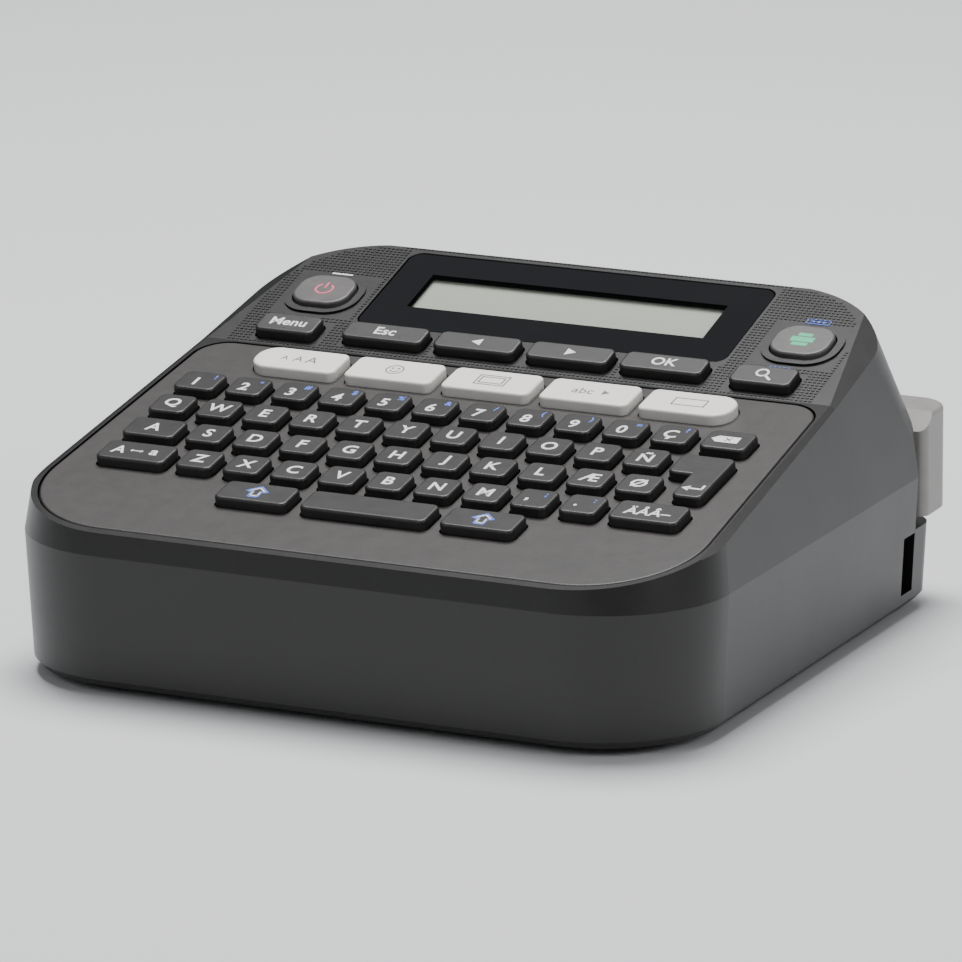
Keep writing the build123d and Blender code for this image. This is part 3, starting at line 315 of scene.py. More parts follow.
def liquid_crystal(name, colour, centre_y):
    """Pale display glass: a soft gradient and the faint grid of its dots."""
    finish = Finish(name, 0.28)
    x, y, z = finish.axes()
    column = abs(finish.net.math("FRACT", x / SCREEN_DOT) - 0.5).ramp(0.36, 0.46)
    row = abs(finish.net.math("FRACT", y / SCREEN_DOT) - 0.5).ramp(0.36, 0.46)
    grid = finish.net.math("MAXIMUM", column, row)
    fade = ((y - centre_y) / 0.02 + 0.5).clamp()
    bright = rgba([min(1.0, channel * 1.12) for channel in colour])
    base = finish.net.mix(fade, rgba(colour), bright)
    finish.set(Base_Color=finish.net.mix(grid * 0.10, base, rgba([channel * 0.6 for channel in colour])))
    finish.set(Roughness=0.28 + finish.noise(0.01) * 0.06)
    return finish.material


def circuit_board(name, colour):
    """Solder mask with tracks that show through as slightly lighter lines."""
    finish = Finish(name, 0.35)
    cells = finish.net.node(
        "ShaderNodeTexVoronoi", {"distance": "MANHATTAN", "feature": "F1"}, Vector=finish.where, Scale=260.0
    )
    tracks = cells.ramp(0.25, 0.34) * (1 - cells.ramp(0.34, 0.43))
    finish.set(Base_Color=finish.net.mix(tracks, rgba(colour), rgba([c * 1.9 for c in colour])))
    finish.set(Roughness=0.32 + tracks * 0.1)
    finish.bump(tracks, 0.00003)
    return finish.material


def cell_sleeve(name, dark, bright):
    """Battery sleeve: a dark body with a bright band round one end."""
    finish = Finish(name, 0.3, Coat_Weight=0.3)
    x, y, z = finish.axes()
    end = abs(abs(x) - CELL_CENTRE)
    band = (end > CELL_BAND_START) * (abs(x) > CELL_CENTRE)
    finish.set(Base_Color=finish.net.mix(band, rgba(dark), rgba(bright)))
    finish.set(Metallic=0.3 + band * 0.5)
    finish.set(Roughness=0.3 + finish.noise(0.004) * 0.1)
    return finish.material


def wound_film(name, colour, centre):
    """Film wound on a spool: fine rings round the spool's own axis."""
    finish = Finish(name, 0.35)
    x, y, z = finish.axes()
    dx, dy = x - centre[0], y - centre[1]
    radius = finish.net.math("SQRT", dx * dx + dy * dy)
    rings = finish.net.math("FRACT", radius / FILM_PITCH)
    finish.set(Base_Color=finish.net.mix(rings * 0.35, rgba(colour), rgba([c * 0.6 for c in colour])))
    finish.set(Roughness=0.3 + rings * 0.15)
    finish.bump(rings, 0.00004)
    return finish.material


# --------------------------------------------------------------------------
# Building helpers


def finish_nodes(material, *names):
    """Puts one material on CAD nodes."""
    for name in names:
        mesh = NODES[name].data
        mesh.materials.clear()
        mesh.materials.append(material)


def new_piece(name, mesh, material, body):
    """A finished piece at the origin that rides on a body."""
    piece = bpy.data.objects.new(name, mesh)
    bpy.context.scene.collection.objects.link(piece)
    mesh.materials.clear()
    mesh.materials.append(material)
    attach(piece, body)
    return piece


class Drawing:
    """Thin raised marks gathered into one mesh, such as the legends of one key row."""

    def __init__(self, thickness):
        self.mesh = bmesh.new()
        self.thickness = thickness

    def prism(self, outline, matrix):
        """One closed flat mark from its outline, anticlockwise, just over the surface."""
        sink, rise = -self.thickness * 0.5, self.thickness
        low = [self.mesh.verts.new(matrix @ Vector((x, y, sink))) for x, y in outline]
        high = [self.mesh.verts.new(matrix @ Vector((x, y, rise))) for x, y in outline]
        self.mesh.faces.new(high)
        self.mesh.faces.new(list(reversed(low)))
        for index in range(len(outline)):
            after = (index + 1) % len(outline)
            self.mesh.faces.new((low[index], low[after], high[after], high[index]))

    def stroke(self, points, width, matrix, closed=False):
        """A line of one width through points, as one prism for each run."""
        count = len(points) if closed else len(points) - 1
        for index in range(count):
            start, end = Vector(points[index]), Vector(points[(index + 1) % len(points)])
            along = (end - start).normalized() * width / 2
            side = Vector((-along.y, along.x))
            start, end = start - along, end + along
            self.prism([start - side, end - side, end + side, start + side], matrix)

    def arc(self, radius, width, matrix, first=0.0, last=360.0, centre=(0.0, 0.0), steps=20):
        """Part of a ring, as short prisms that share their ends."""
        for index in range(steps):
            corners = []
            for share, reach in ((0, -1), (0, 1), (1, 1), (1, -1)):
                angle = math.radians(first + (last - first) * (index + share) / steps)
                size = radius + reach * width / 2
                corners.append((centre[0] + size * math.cos(angle), centre[1] + size * math.sin(angle)))
            self.prism(corners, matrix)

    def text(self, words, size, matrix, bold=0.0, centred=True):
        """Words centred on the matrix, from the built-in font."""
        curve = bpy.data.curves.new("legend", "FONT")
        curve.body = words
        curve.size = size
        curve.offset = bold
        curve.resolution_u = 3
        curve.extrude = self.thickness * 0.75
        holder = bpy.data.objects.new("legend", curve)
        bpy.context.scene.collection.objects.link(holder)
        flat = bpy.data.meshes.new_from_object(holder.evaluated_get(bpy.context.evaluated_depsgraph_get()))
        xs = [vertex.co.x for vertex in flat.vertices]
        ys = [vertex.co.y for vertex in flat.vertices]
        middle = Vector(((min(xs) + max(xs)) / 2, (min(ys) + max(ys)) / 2 if centred else size * 0.35, 0))
        flat.transform(matrix @ Matrix.Translation(-middle + Vector((0, 0, self.thickness * 0.25))))
        self.mesh.from_mesh(flat)
        bpy.data.meshes.remove(flat)
        bpy.data.objects.remove(holder)
        bpy.data.curves.remove(curve)

    def finish(self, name, material, body, slot):
        """The marks as one piece on a body."""
        bmesh.ops.remove_doubles(self.mesh, verts=self.mesh.verts, dist=1e-7)
        bmesh.ops.dissolve_degenerate(self.mesh, edges=self.mesh.edges, dist=1e-7)
        mesh = bpy.data.meshes.new(name)
        self.mesh.to_mesh(mesh)
        self.mesh.free()
        return new_piece(name, mesh, material, body)


# --------------------------------------------------------------------------
# Settings that a user would change


class LabelMakerSizes(bpy.types.PropertyGroup):
    """Sizes of the printed marks and of the panel's texture."""

    letter: FloatProperty(
        name="Letter height", description="Size of a key's main legend",
        default=4.6 * MM, unit="LENGTH",
    )
    second: FloatProperty(
        name="Second legend", description="Size of the small legends",
        default=2.4 * MM, unit="LENGTH",
    )
    word: FloatProperty(
        name="Word height", description="Size of the words on the menu keys",
        default=3.9 * MM, unit="LENGTH",
    )
    ink: FloatProperty(
        name="Ink thickness", description="Height of the printed marks",
        default=0.03 * MM, unit="LENGTH",
    )
    dash: FloatProperty(
        name="Dash length", description="Length of one raised dash",
        default=0.62 * MM, unit="LENGTH",
    )
    dash_pitch: FloatProperty(
        name="Dash pitch", description="Distance between dashes",
        default=1.0 * MM, unit="LENGTH",
    )
    dash_height: FloatProperty(
        name="Dash height", description="Height of one raised dash",
        default=0.14 * MM, unit="LENGTH",
    )


class LabelMakerColours(bpy.types.PropertyGroup):
    """Colours of the mouldings and of the inks."""

    casing: FloatVectorProperty(
        name="Casing", description="Casing plastic",
        subtype="COLOR", default=(0.007, 0.0065, 0.0065),
    )
    plate: FloatVectorProperty(
        name="Plate", description="Keyboard plate",
        subtype="COLOR", default=(0.030, 0.027, 0.0255),
    )
    key: FloatVectorProperty(
        name="Key", description="Dark keys",
        subtype="COLOR", default=(0.020, 0.019, 0.0185),
    )
    white_key: FloatVectorProperty(
        name="White key", description="Function keys",
        subtype="COLOR", default=(0.90, 0.87, 0.83),
    )
    grey_key: FloatVectorProperty(
        name="Grey key", description="Power and print keys",
        subtype="COLOR", default=(0.085, 0.08, 0.078),
    )
    lever: FloatVectorProperty(
        name="Lever", description="Cutter lever",
        subtype="COLOR", default=(0.27, 0.26, 0.25),
    )
    screen: FloatVectorProperty(
        name="Screen", description="Liquid crystal panel",
        subtype="COLOR", default=(0.50, 0.55, 0.46),
    )
    white_ink: FloatVectorProperty(
        name="White ink", description="Main legends",
        subtype="COLOR", default=(0.86, 0.86, 0.86),
    )
    blue_ink: FloatVectorProperty(
        name="Blue ink", description="Second legends",
        subtype="COLOR", default=(0.10, 0.20, 0.80),
    )
    green_ink: FloatVectorProperty(
        name="Green ink", description="Print symbol",
        subtype="COLOR", default=(0.04, 0.50, 0.26),
    )
    red_ink: FloatVectorProperty(
        name="Red ink", description="Power symbol",
        subtype="COLOR", default=(0.72, 0.10, 0.20),
    )
    grey_ink: FloatVectorProperty(
        name="Grey ink", description="Legends of the white keys",
        subtype="COLOR", default=(0.16, 0.15, 0.15),
    )


def sizes():
    return bpy.context.scene.label_maker_sizes


def colours():
    return bpy.context.scene.label_maker_colours


def ink(kind):
    """The material of one ink, made once."""
    name = f"{kind}_ink"
    return bpy.data.materials.get(name) or printed(name, tuple(getattr(colours(), name)))


# --------------------------------------------------------------------------
# Legends

NUMBER_LEGENDS = "1234567890Ç"
NUMBER_SECONDS = ("!", "\"", "#", "$", "%", "&", "/", "(", ")", "=", "?")
UPPER_LEGENDS = "QWERTYUIOPÑ"
HOME_LEGENDS = "ASDFGHJKLÆØ"
LOWER_LEGENDS = "ZXCVBNM,."
LOWER_SECONDS = {",": ";", ".": ":"}
INK_SLOTS = {
    "white": "key_white",
    "blue": "cell_wrap",
    "grey": "chip_black",
    "green": "board_green",
    "red": "flex_amber",
}


def finish_drawing(drawing, node, kind, label="legend"):
    return drawing.finish(f"{node}_{kind}_{label}", ink(kind), node, INK_SLOTS[kind])


def letter_row(node, legends, seconds=()):
    """White letters on a row's caps, and blue second legends near their rear right corners."""
    white, blue = Drawing(sizes().ink), Drawing(sizes().ink)
    for index, (top, letter) in enumerate(zip(key_tops(node), legends)):
        drop = -0.6 * MM if seconds else 0.0
        low = letter in ",."
        white.text(letter, sizes().letter, top.place(-0.6 * MM if seconds else 0, drop), 0.09 * MM, not low)
        if index < len(seconds):
            corner = top.place(top.width / 2 - 1.9 * MM, 1.9 * MM)
            blue.text(seconds[index], sizes().second, corner, 0.05 * MM)
    return white, blue


def shift_arrow(drawing, matrix, size):
    """Outlined upward arrow."""
    right_half = [(0.25, -0.5), (0.25, 0.05), (0.55, 0.05)]
    outline = right_half + [(0, 0.55)] + [(-x, y) for x, y in reversed(right_half)]
    drawing.stroke([(x * size, y * size) for x, y in outline], 0.38 * MM, matrix, closed=True)


def double_arrow(drawing, matrix, reach):
    """Short arrow with a head at each end."""
    head = 0.55 * MM
    drawing.stroke([(-reach, 0), (reach, 0)], 0.3 * MM, matrix)
    for side in (-1, 1):
        tip = side * (reach + head * 0.6)
        base = side * (reach - head * 0.5)
        corners = [(tip, 0), (base, head), (base, -head)]
        drawing.prism(corners if side > 0 else list(reversed(corners)), matrix)


class LABELMAKER_OT_letter_legends(bpy.types.Operator):
    """Letters, digits and second legends on the four letter rows"""

    bl_idname = "labelmaker.letter_legends"
    bl_label = "Letter legends"

    def execute(self, context):
        self.number_row()
        for node, legends in (("upper_row_keys", UPPER_LEGENDS), ("home_row_keys", HOME_LEGENDS)):
            white, unused = letter_row(node, legends)
            unused.mesh.free()
            finish_drawing(white, node, "white")
        self.lower_row()
        return {"FINISHED"}

    def number_row(self):
        """Digits, with a filled backspace symbol on the last cap."""
        node = "number_row_keys"
        white, blue = letter_row(node, NUMBER_LEGENDS, NUMBER_SECONDS)
        place = key_tops(node)[-1].place()
        wide, tall, point = 2.4 * MM, 1.35 * MM, 1.4 * MM
        white.prism([(-wide - point, 0), (-wide, -tall), (wide, -tall), (wide, tall), (-wide, tall)], place)
        finish_drawing(white, node, "white")
        finish_drawing(blue, node, "blue")
        cross = Drawing(sizes().ink * 1.5)
        arm = 0.6 * MM
        cross.stroke([(-arm, -arm), (arm, arm)], 0.3 * MM, place)
        cross.stroke([(-arm, arm), (arm, -arm)], 0.3 * MM, place)
        finish_drawing(cross, node, "grey")

    def lower_row(self):
        """The capitals key, the letters, and the accents key."""
        node = "lower_row_keys"
        tops = key_tops(node)
        white, blue = Drawing(sizes().ink), Drawing(sizes().ink)
        white.text("A", sizes().letter * 0.95, tops[0].place(-4.0 * MM), 0.08 * MM)
        double_arrow(white, tops[0].place(), 1.2 * MM)
        white.text("a", sizes().letter * 0.95, tops[0].place(4.0 * MM), 0.08 * MM)
        for top, letter in zip(tops[1:-1], LOWER_LEGENDS):
            if letter in LOWER_SECONDS:
                white.text(letter, sizes().letter, top.place(-1.4 * MM, -0.9 * MM), 0.10 * MM)
                corner = top.place(2.0 * MM, 1.5 * MM)
                blue.text(LOWER_SECONDS[letter], sizes().second * 1.1, corner, 0.05 * MM)
            else:
                white.text(letter, sizes().letter, top.place(), 0.09 * MM)
        white.text("ÄÅÂ–", sizes().letter * 0.86, tops[-1].place(), 0.07 * MM)
        finish_drawing(white, node, "white")
        finish_drawing(blue, node, "blue")


class LABELMAKER_OT_symbol_legends(bpy.types.Operator):
    """Words and symbols on the command, function, shift and enter keys"""

    bl_idname = "labelmaker.symbol_legends"
    bl_label = "Symbol legends"

    def execute(self, context):
        self.words()
        self.arrows()
        self.round_keys()
        self.function_keys()
        return {"FINISHED"}

    def words(self):
        for node, word in (("key_menu", "Menu"), ("key_escape", "Esc"), ("key_ok", "OK")):
            drawing = Drawing(sizes().ink)
            drawing.text(word, sizes().word, whole_top(node).place(0, 0.2 * MM), 0.07 * MM)
            finish_drawing(drawing, node, "white")

    def arrows(self):
        """Cursor triangles, shift outlines and the enter arrow."""
        for node, side in (("key_left", -1), ("key_right", 1)):
            tip = side * 1.35 * MM
            corners = [(tip, 0), (-tip * 0.7, 1.25 * MM), (-tip * 0.7, -1.25 * MM)]
            drawing = Drawing(sizes().ink)
            drawing.prism(corners if side > 0 else list(reversed(corners)), whole_top(node).place())
            finish_drawing(drawing, node, "white")
        for node in ("key_shift_left", "key_shift_right"):
            drawing = Drawing(sizes().ink)
            shift_arrow(drawing, whole_top(node).place(), 4.4 * MM)
            finish_drawing(drawing, node, "blue")
            core = Drawing(sizes().ink * 0.8)
            shift_arrow(core, whole_top(node).place(), 3.3 * MM)
            finish_drawing(core, node, "white")
        drawing = Drawing(sizes().ink)
        place = whole_top("key_enter").place(2.65 * MM, -5.6 * MM)
        drawing.stroke([(2.0 * MM, 1.5 * MM), (2.0 * MM, 0), (-0.9 * MM, 0)], 0.55 * MM, place)
        drawing.prism([(-2.4 * MM, 0), (-0.7 * MM, -1.1 * MM), (-0.7 * MM, 1.1 * MM)], place)
        finish_drawing(drawing, "key_enter", "white")

    def round_keys(self):
        """Power symbol in red, printer symbol in green, magnifier in white."""
        power = Drawing(sizes().ink)
        place = whole_top("key_power").place()
        power.arc(1.9 * MM, 0.5 * MM, place, 125, 415)
        power.stroke([(0, 0.5 * MM), (0, 2.3 * MM)], 0.5 * MM, place)
        finish_drawing(power, "key_power", "red")
        printer = Drawing(sizes().ink)
        place = whole_top("key_print").place()
        body = [(-2.6, -0.9), (2.6, -0.9), (2.6, 1.0), (-2.6, 1.0)]
        sheet = [(-1.6, 1.3), (1.6, 1.3), (1.6, 2.5), (-1.6, 2.5)]
        tray = [(-1.8, -2.4), (1.8, -2.4), (1.8, -1.2), (-1.8, -1.2)]
        for outline in (body, sheet, tray):
            printer.prism([(x * MM, y * MM) for x, y in outline], place)
        finish_drawing(printer, "key_print", "green")
        search = Drawing(sizes().ink)
        place = whole_top("key_search").place()
        search.arc(1.25 * MM, 0.5 * MM, place, centre=(-0.5 * MM, 0.5 * MM))
        search.stroke([(0.55 * MM, -0.5 * MM), (1.9 * MM, -1.8 * MM)], 0.6 * MM, place)
        finish_drawing(search, "key_search", "white")

    def function_keys(self):
        """Thin grey symbols on the white keys."""
        width = 0.3 * MM
        font = Drawing(sizes().ink)
        for index, size in enumerate((2.6, 3.3, 4.0)):
            font.text("A", size * MM, whole_top("key_font").place((index - 1) * 3.2 * MM), 0.0)
        finish_drawing(font, "key_font", "grey")
        symbol = Drawing(sizes().ink)
        place = whole_top("key_symbol").place()
        symbol.arc(1.9 * MM, width, place)
        symbol.arc(1.0 * MM, width, place, 200, 340, steps=8)
        for side in (-1, 1):
            symbol.arc(0.18 * MM, 0.3 * MM, place, centre=(side * 0.7 * MM, 0.55 * MM), steps=8)
        finish_drawing(symbol, "key_symbol", "grey")
        border = Drawing(sizes().ink)
        place = whole_top("key_frame").place()
        for grow in (0.0, 0.8):
            wide, tall = (3.4 - grow) * MM, (2.1 - grow) * MM
            corners = [(-wide, -tall), (wide, -tall), (wide, tall), (-wide, tall)]
            border.stroke(corners, width, place, closed=True)
        finish_drawing(border, "key_frame", "grey")
        preset = Drawing(sizes().ink)
        top = whole_top("key_preset")
        preset.text("abc", 3.6 * MM, top.place(-1.6 * MM), 0.0)
        preset.prism([(2.8 * MM, 1.0 * MM), (2.8 * MM, -1.0 * MM), (4.4 * MM, 0)], top.place())
        finish_drawing(preset, "key_preset", "grey")
        style = Drawing(sizes().ink)
        place = whole_top("key_style").place()
        wide, tall = 3.6 * MM, 1.5 * MM
        style.stroke([(-wide, -tall), (wide, -tall), (wide, tall), (-wide, tall)], width, place, closed=True)
        finish_drawing(style, "key_style", "grey")


# --------------------------------------------------------------------------
# Panel round the display


# The window lies this far below the panel round it, and the panel's corners have this radius
WINDOW_SINK = 0.1 * MM
PANEL_CORNER = 22 * MM
# The display shows through this part of the window, measured from its middle and its front edge
CLEAR_HALF_WIDTH = 34.6 * MM
CLEAR_FRONT, CLEAR_REAR = 8.9 * MM, 22.4 * MM


class Slope:
    """The display panel's plane: a place on it is x across and v up the slope."""

    def __init__(self):
        self.normal = JOINT_AXES["key_ok"]
        self.up = self.normal.cross(ACROSS)
        points = [vertex.co for vertex in NODES["display_window"].data.vertices]
        self.height = max(point.dot(self.normal) for point in points) + WINDOW_SINK

    def place(self, x, v, lift=0.0):
        centre = ACROSS * x + self.up * v + self.normal * (self.height + lift)
        return Matrix.Translation(centre) @ Matrix((ACROSS, self.up, self.normal)).transposed().to_4x4()

    def span(self, node):
        """(left, right, front, rear) of a node on this plane, for what shows of it."""
        points = [vertex.co for vertex in NODES[node].data.vertices]
        rim = [p for p in points if p.dot(self.normal) > self.height - 2 * MM]
        xs = [p.x for p in rim]
        vs = [p.dot(self.up) for p in rim]
        return min(xs), max(xs), min(vs), max(vs)


PANEL_KEYS = ("key_escape", "key_left", "key_right", "key_ok", "key_menu", "key_search")
ROUND_KEYS = ("key_power", "key_print")


def dash_tree(material, slope):
    """Geometry Nodes: a grid of short raised dashes, cut away round the window and the keys."""
    tree = bpy.data.node_groups.new("panel_dashes", "GeometryNodeTree")
    tree.is_modifier = True
    face = tree.interface
    for name in ("Width", "Depth", "Pitch", "Dash", "Height"):
        face.new_socket(name, in_out="INPUT", socket_type="NodeSocketFloat")
    face.new_socket("Geometry", in_out="OUTPUT", socket_type="NodeSocketGeometry")
    net = Net(tree)
    inputs = tree.nodes.new("NodeGroupInput")
    width, depth, pitch, dash, height = [Wire(net, inputs.outputs[i]) for i in range(5)]
    columns, rows = width / pitch, depth / pitch
    grid = net.node("GeometryNodeMeshGrid", in_0=width, in_1=depth, in_2=columns, in_3=rows)
    place = net.node("GeometryNodeInputPosition")
    split = tree.nodes.new("ShaderNodeSeparateXYZ")
    net.feed(split.inputs[0], place)
    x, y = Wire(net, split.outputs[0]), Wire(net, split.outputs[1])
    cut = panel_cut(net, x, y, slope)
    kept = net.node("GeometryNodeDeleteGeometry", {"domain": "POINT"}, in_0=grid, in_1=cut)
    size = net.node("ShaderNodeCombineXYZ", in_0=dash, in_1=dash * 0.5, in_2=height)
    bar = net.node("GeometryNodeMeshCube", in_0=size)
    spread = net.node("GeometryNodeInstanceOnPoints", in_0=kept, in_2=bar)
    solid = net.node("GeometryNodeRealizeInstances", in_0=spread)
    painted = net.node("GeometryNodeSetMaterial", in_0=solid, in_2=material)
    group_output = tree.nodes.new("NodeGroupOutput")
    net.feed(group_output.inputs[0], painted)
    return tree


def panel_cut(net, x, y, slope):
    """1 where a dash would touch the window, a key, or the panel's rounded edge."""
    (left, right, front, rear), middle = panel_span(slope)
    cut = (abs(x) > right) * 1.0
    over_x = net.math("MAXIMUM", abs(x) - (right - PANEL_CORNER), 0.0)
    over_y = net.math("MAXIMUM", y - (rear - middle - PANEL_CORNER), 0.0)
    outside = net.math("SQRT", over_x * over_x + over_y * over_y) > PANEL_CORNER
    cut = net.math("MAXIMUM", cut, outside)
    clearances = [("display_window", 0.9 * MM)]
    clearances += [(name, 1.1 * MM) for name in PANEL_KEYS]
    clearances += [(name, 2.8 * MM) for name in ROUND_KEYS]
    for name, gap in clearances:
        x0, x1, y0, y1 = slope.span(name)
        inside = (x > x0 - gap) * (x < x1 + gap) * (y > y0 - gap - middle) * (y < y1 + gap - middle)
        cut = net.math("MAXIMUM", cut, inside)
    return cut


def panel_span(slope):
    """Limits of the textured panel on its slope, and the middle of its depth."""
    window = slope.span("display_window")
    keys = slope.span("key_menu")
    right = slope.span("key_print")[1] + 3.6 * MM
    front, rear = keys[2] - 1.6 * MM, window[3] + 1.4 * MM
    return (-right, right, front, rear), (front + rear) / 2


class LABELMAKER_OT_panel(bpy.types.Operator):
    """Raised dash texture and the small blue marks on the display panel"""

    bl_idname = "labelmaker.panel"
    bl_label = "Display panel"

    def execute(self, context):
        slope = Slope()
        material = NODES["top_case"].data.materials[0]
        tree = dash_tree(material, slope)
        (left, right, front, rear), middle = panel_span(slope)
        holder = bpy.data.objects.new("panel_dashes_source", bpy.data.meshes.new("panel_dashes_source"))
        context.scene.collection.objects.link(holder)
        modifier = holder.modifiers.new("dashes", "NODES")
        modifier.node_group = tree
        values = {
            "Width": right - left, "Depth": rear - front, "Pitch": sizes().dash_pitch,
            "Dash": sizes().dash, "Height": sizes().dash_height * 2,
        }
        for item in tree.interface.items_tree:
            if item.in_out == "INPUT":
                modifier[item.identifier] = values[item.name]
        context.view_layer.update()
        mesh = bpy.data.meshes.new_from_object(holder.evaluated_get(context.evaluated_depsgraph_get()))
        holder.modifiers.clear()
        bpy.data.objects.remove(holder)
        mesh.transform(slope.place(0, middle))
        new_piece("panel_dashes", mesh, material, "root")
        self.marks(slope)
        return {"FINISHED"}

    def marks(self, slope):
        """Blue symbols by the print, search and backspace keys, and a white tick by the power key."""
        blue = Drawing(sizes().ink)
        tilt = JOINT_AXES["number_row_keys"]
        x0, x1, y0, y1 = slope.span("key_print")
        self.tag(blue, slope.place((x0 + x1) / 2 - 0.5 * MM, y1 + 3.9 * MM, 0.1 * MM), 2.6 * MM)
        x0, x1, y0, y1 = slope.span("key_search")
        self.tag(blue, slope.place((x0 + x1) / 2 + 0.6 * MM, y1 + 2.1 * MM, 0.1 * MM), 2.2 * MM)
        last = key_tops("number_row_keys")[-1]
        lift = -2.2 * MM
        spot = KeyTop(last.left, last.right, last.front, last.rear, last.height + lift, tilt)
        self.tag(blue, spot.place(0.5 * MM, last.depth / 2 + 1.7 * MM), 2.2 * MM)
        blue.finish("panel_blue_marks", ink("blue"), "root", INK_SLOTS["blue"])
        white = Drawing(sizes().ink)
        x0, x1, y0, y1 = slope.span("key_power")
        above_power = slope.place((x0 + x1) / 2, y1 + 2.9 * MM, 0.15 * MM)
        white.stroke([(-2.2 * MM, 0), (2.2 * MM, 0)], 0.5 * MM, above_power)
        white.finish("panel_white_marks", ink("white"), "root", INK_SLOTS["white"])

    def tag(self, drawing, place, reach):
        """A small sheet symbol with lines on it."""
        tall = 0.85 * MM
        corners = [(-reach, -tall), (reach, -tall), (reach, tall), (-reach, tall)]
        drawing.stroke(corners, 0.22 * MM, place, closed=True)
        for share in (-0.5, 0.0, 0.5):
            drawing.prism([
                (reach * share - 0.4 * MM, -0.35 * MM), (reach * share + 0.4 * MM, -0.35 * MM),
                (reach * share + 0.4 * MM, 0.35 * MM), (reach * share - 0.4 * MM, 0.35 * MM),
            ], place)


# --------------------------------------------------------------------------
# Finishes of the CAD nodes


class LABELMAKER_OT_casing(bpy.types.Operator):
    """Plastics of the casings, plate, window and lever, and the rubber feet"""

    bl_idname = "labelmaker.casing"
    bl_label = "Casing finishes"

    def execute(self, context):
        tint = colours()
        casing = moulded("casing_black", tuple(tint.casing), 0.36, 0.0005, 0.000012)
        finish_nodes(casing, "top_case", "bottom_case", "back_cover")
        plate = moulded("plate_grey", tuple(tint.plate), 0.46, 0.00045, 0.00003, 0.05, 0.22)
        finish_nodes(plate, "keyboard_plate")
        lever = moulded("lever_grey", tuple(tint.lever), 0.42, 0.0005, 0.00002, 0.05, 0.08)
        finish_nodes(lever, "cutter_lever")
        finish_nodes(rubber("feet_rubber", (0.02, 0.02, 0.02)), "rubber_feet")
        finish_nodes(metal("screw_steel", (0.35, 0.35, 0.36), 0.35), "case_screws")
        return {"FINISHED"}


class LABELMAKER_OT_keys(bpy.types.Operator):
    """Plastics of the keys"""

    bl_idname = "labelmaker.keys"
    bl_label = "Key finishes"

    def execute(self, context):
        tint = colours()
        dark = moulded("key_dark", tuple(tint.key), 0.40, 0.0004, 0.000018, 0.06, 0.2)
        finish_nodes(dark, "number_row_keys", "upper_row_keys", "home_row_keys", "lower_row_keys")
        finish_nodes(dark, "key_enter", "key_space", "key_shift_left", "key_shift_right")
        finish_nodes(dark, "key_escape", "key_left", "key_right", "key_ok", "key_menu", "key_search")
        white = moulded("key_white", tuple(tint.white_key), 0.38, 0.0005, 0.00001, 0.05, 0.035)
        finish_nodes(white, "key_font", "key_symbol", "key_frame", "key_preset", "key_style")
        grey = moulded("key_grey", tuple(tint.grey_key), 0.40, 0.0004, 0.000018)
        finish_nodes(grey, "key_power", "key_print")
        return {"FINISHED"}


class LABELMAKER_OT_display(bpy.types.Operator):
    """Display window with its printed border, the liquid crystal panel and its cable"""

    bl_idname = "labelmaker.display"
    bl_label = "Display"

    def execute(self, context):
        slope = Slope()
        left, right, front, rear = slope.span("display_window")
        middle = (left + right) / 2
        sides = (middle - CLEAR_HALF_WIDTH, middle + CLEAR_HALF_WIDTH)
        clear = (*sides, front + CLEAR_FRONT, front + CLEAR_REAR)
        angle = math.atan2(slope.up.z, slope.up.y)
        finish_nodes(window_acrylic("window_black", clear, angle), "display_window")
        low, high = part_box("lcd_module")
        screen = liquid_crystal("display_glass", tuple(colours().screen), (low.y + high.y) / 2)
        finish_nodes(screen, "lcd_module")
        finish_nodes(moulded("display_frame", (0.62, 0.62, 0.60), 0.5), "lcd_frame")
        finish_nodes(moulded("flex_amber", (0.45, 0.20, 0.04), 0.3, 0.0008, 0.000004), "lcd_cable")
        return {"FINISHED"}


class LABELMAKER_OT_inside(bpy.types.Operator):
    """Finishes of what shows with the back cover open, and of the mechanism"""

    bl_idname = "labelmaker.inside"
    bl_label = "Inside"

    def execute(self, context):
        finish_nodes(circuit_board("board_green", (0.02, 0.12, 0.05)), "main_board", "display_board")
        black = moulded("chip_black", (0.018, 0.018, 0.018), 0.5)
        finish_nodes(black, "board_chips", "dc_jack", "print_head")
        finish_nodes(moulded("frame_grey", (0.16, 0.16, 0.165), 0.5), "mechanism_frame", "roller_holder")
        finish_nodes(moulded("cassette_grey", (0.20, 0.20, 0.205), 0.42), "cassette_base", "cassette_lid")
        acetal = moulded("gear_acetal", (0.75, 0.74, 0.69), 0.36)
        finish_nodes(acetal, "motor_pinion", "idler_gear", "ribbon_spindle")
        finish_nodes(rubber("silicone", (0.05, 0.05, 0.052), 0.6), "keypad_mat", "platen_roller")
        steel = metal("bright_steel", (0.6, 0.6, 0.61), 0.28)
        finish_nodes(steel, "battery_contacts", "platen_shaft", "motor")
        finish_nodes(steel, "cutter_blade", "cutter_anvil", "lever_spring")
        finish_nodes(metal("cast_alloy", (0.66, 0.66, 0.67), 0.42, 0.0015), "head_heat_sink")
        finish_nodes(cell_sleeve("cell_sleeve", (0.015, 0.02, 0.05), (0.55, 0.42, 0.16)), "batteries")
        finish_nodes(moulded("tape_film", (0.82, 0.82, 0.80), 0.22, 0.0008, 0.000002), "label_tape")
        for node, colour in (
            ("tape_spool", (0.8, 0.8, 0.78)),
            ("ribbon_spool", (0.03, 0.03, 0.035)),
            ("take_up_spool", (0.05, 0.05, 0.05)),
        ):
            low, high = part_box(node)
            centre = ((low.x + high.x) / 2, (low.y + high.y) / 2)
            finish_nodes(wound_film(f"{node}_film", colour, centre), node)
        return {"FINISHED"}


# --------------------------------------------------------------------------
# Stage

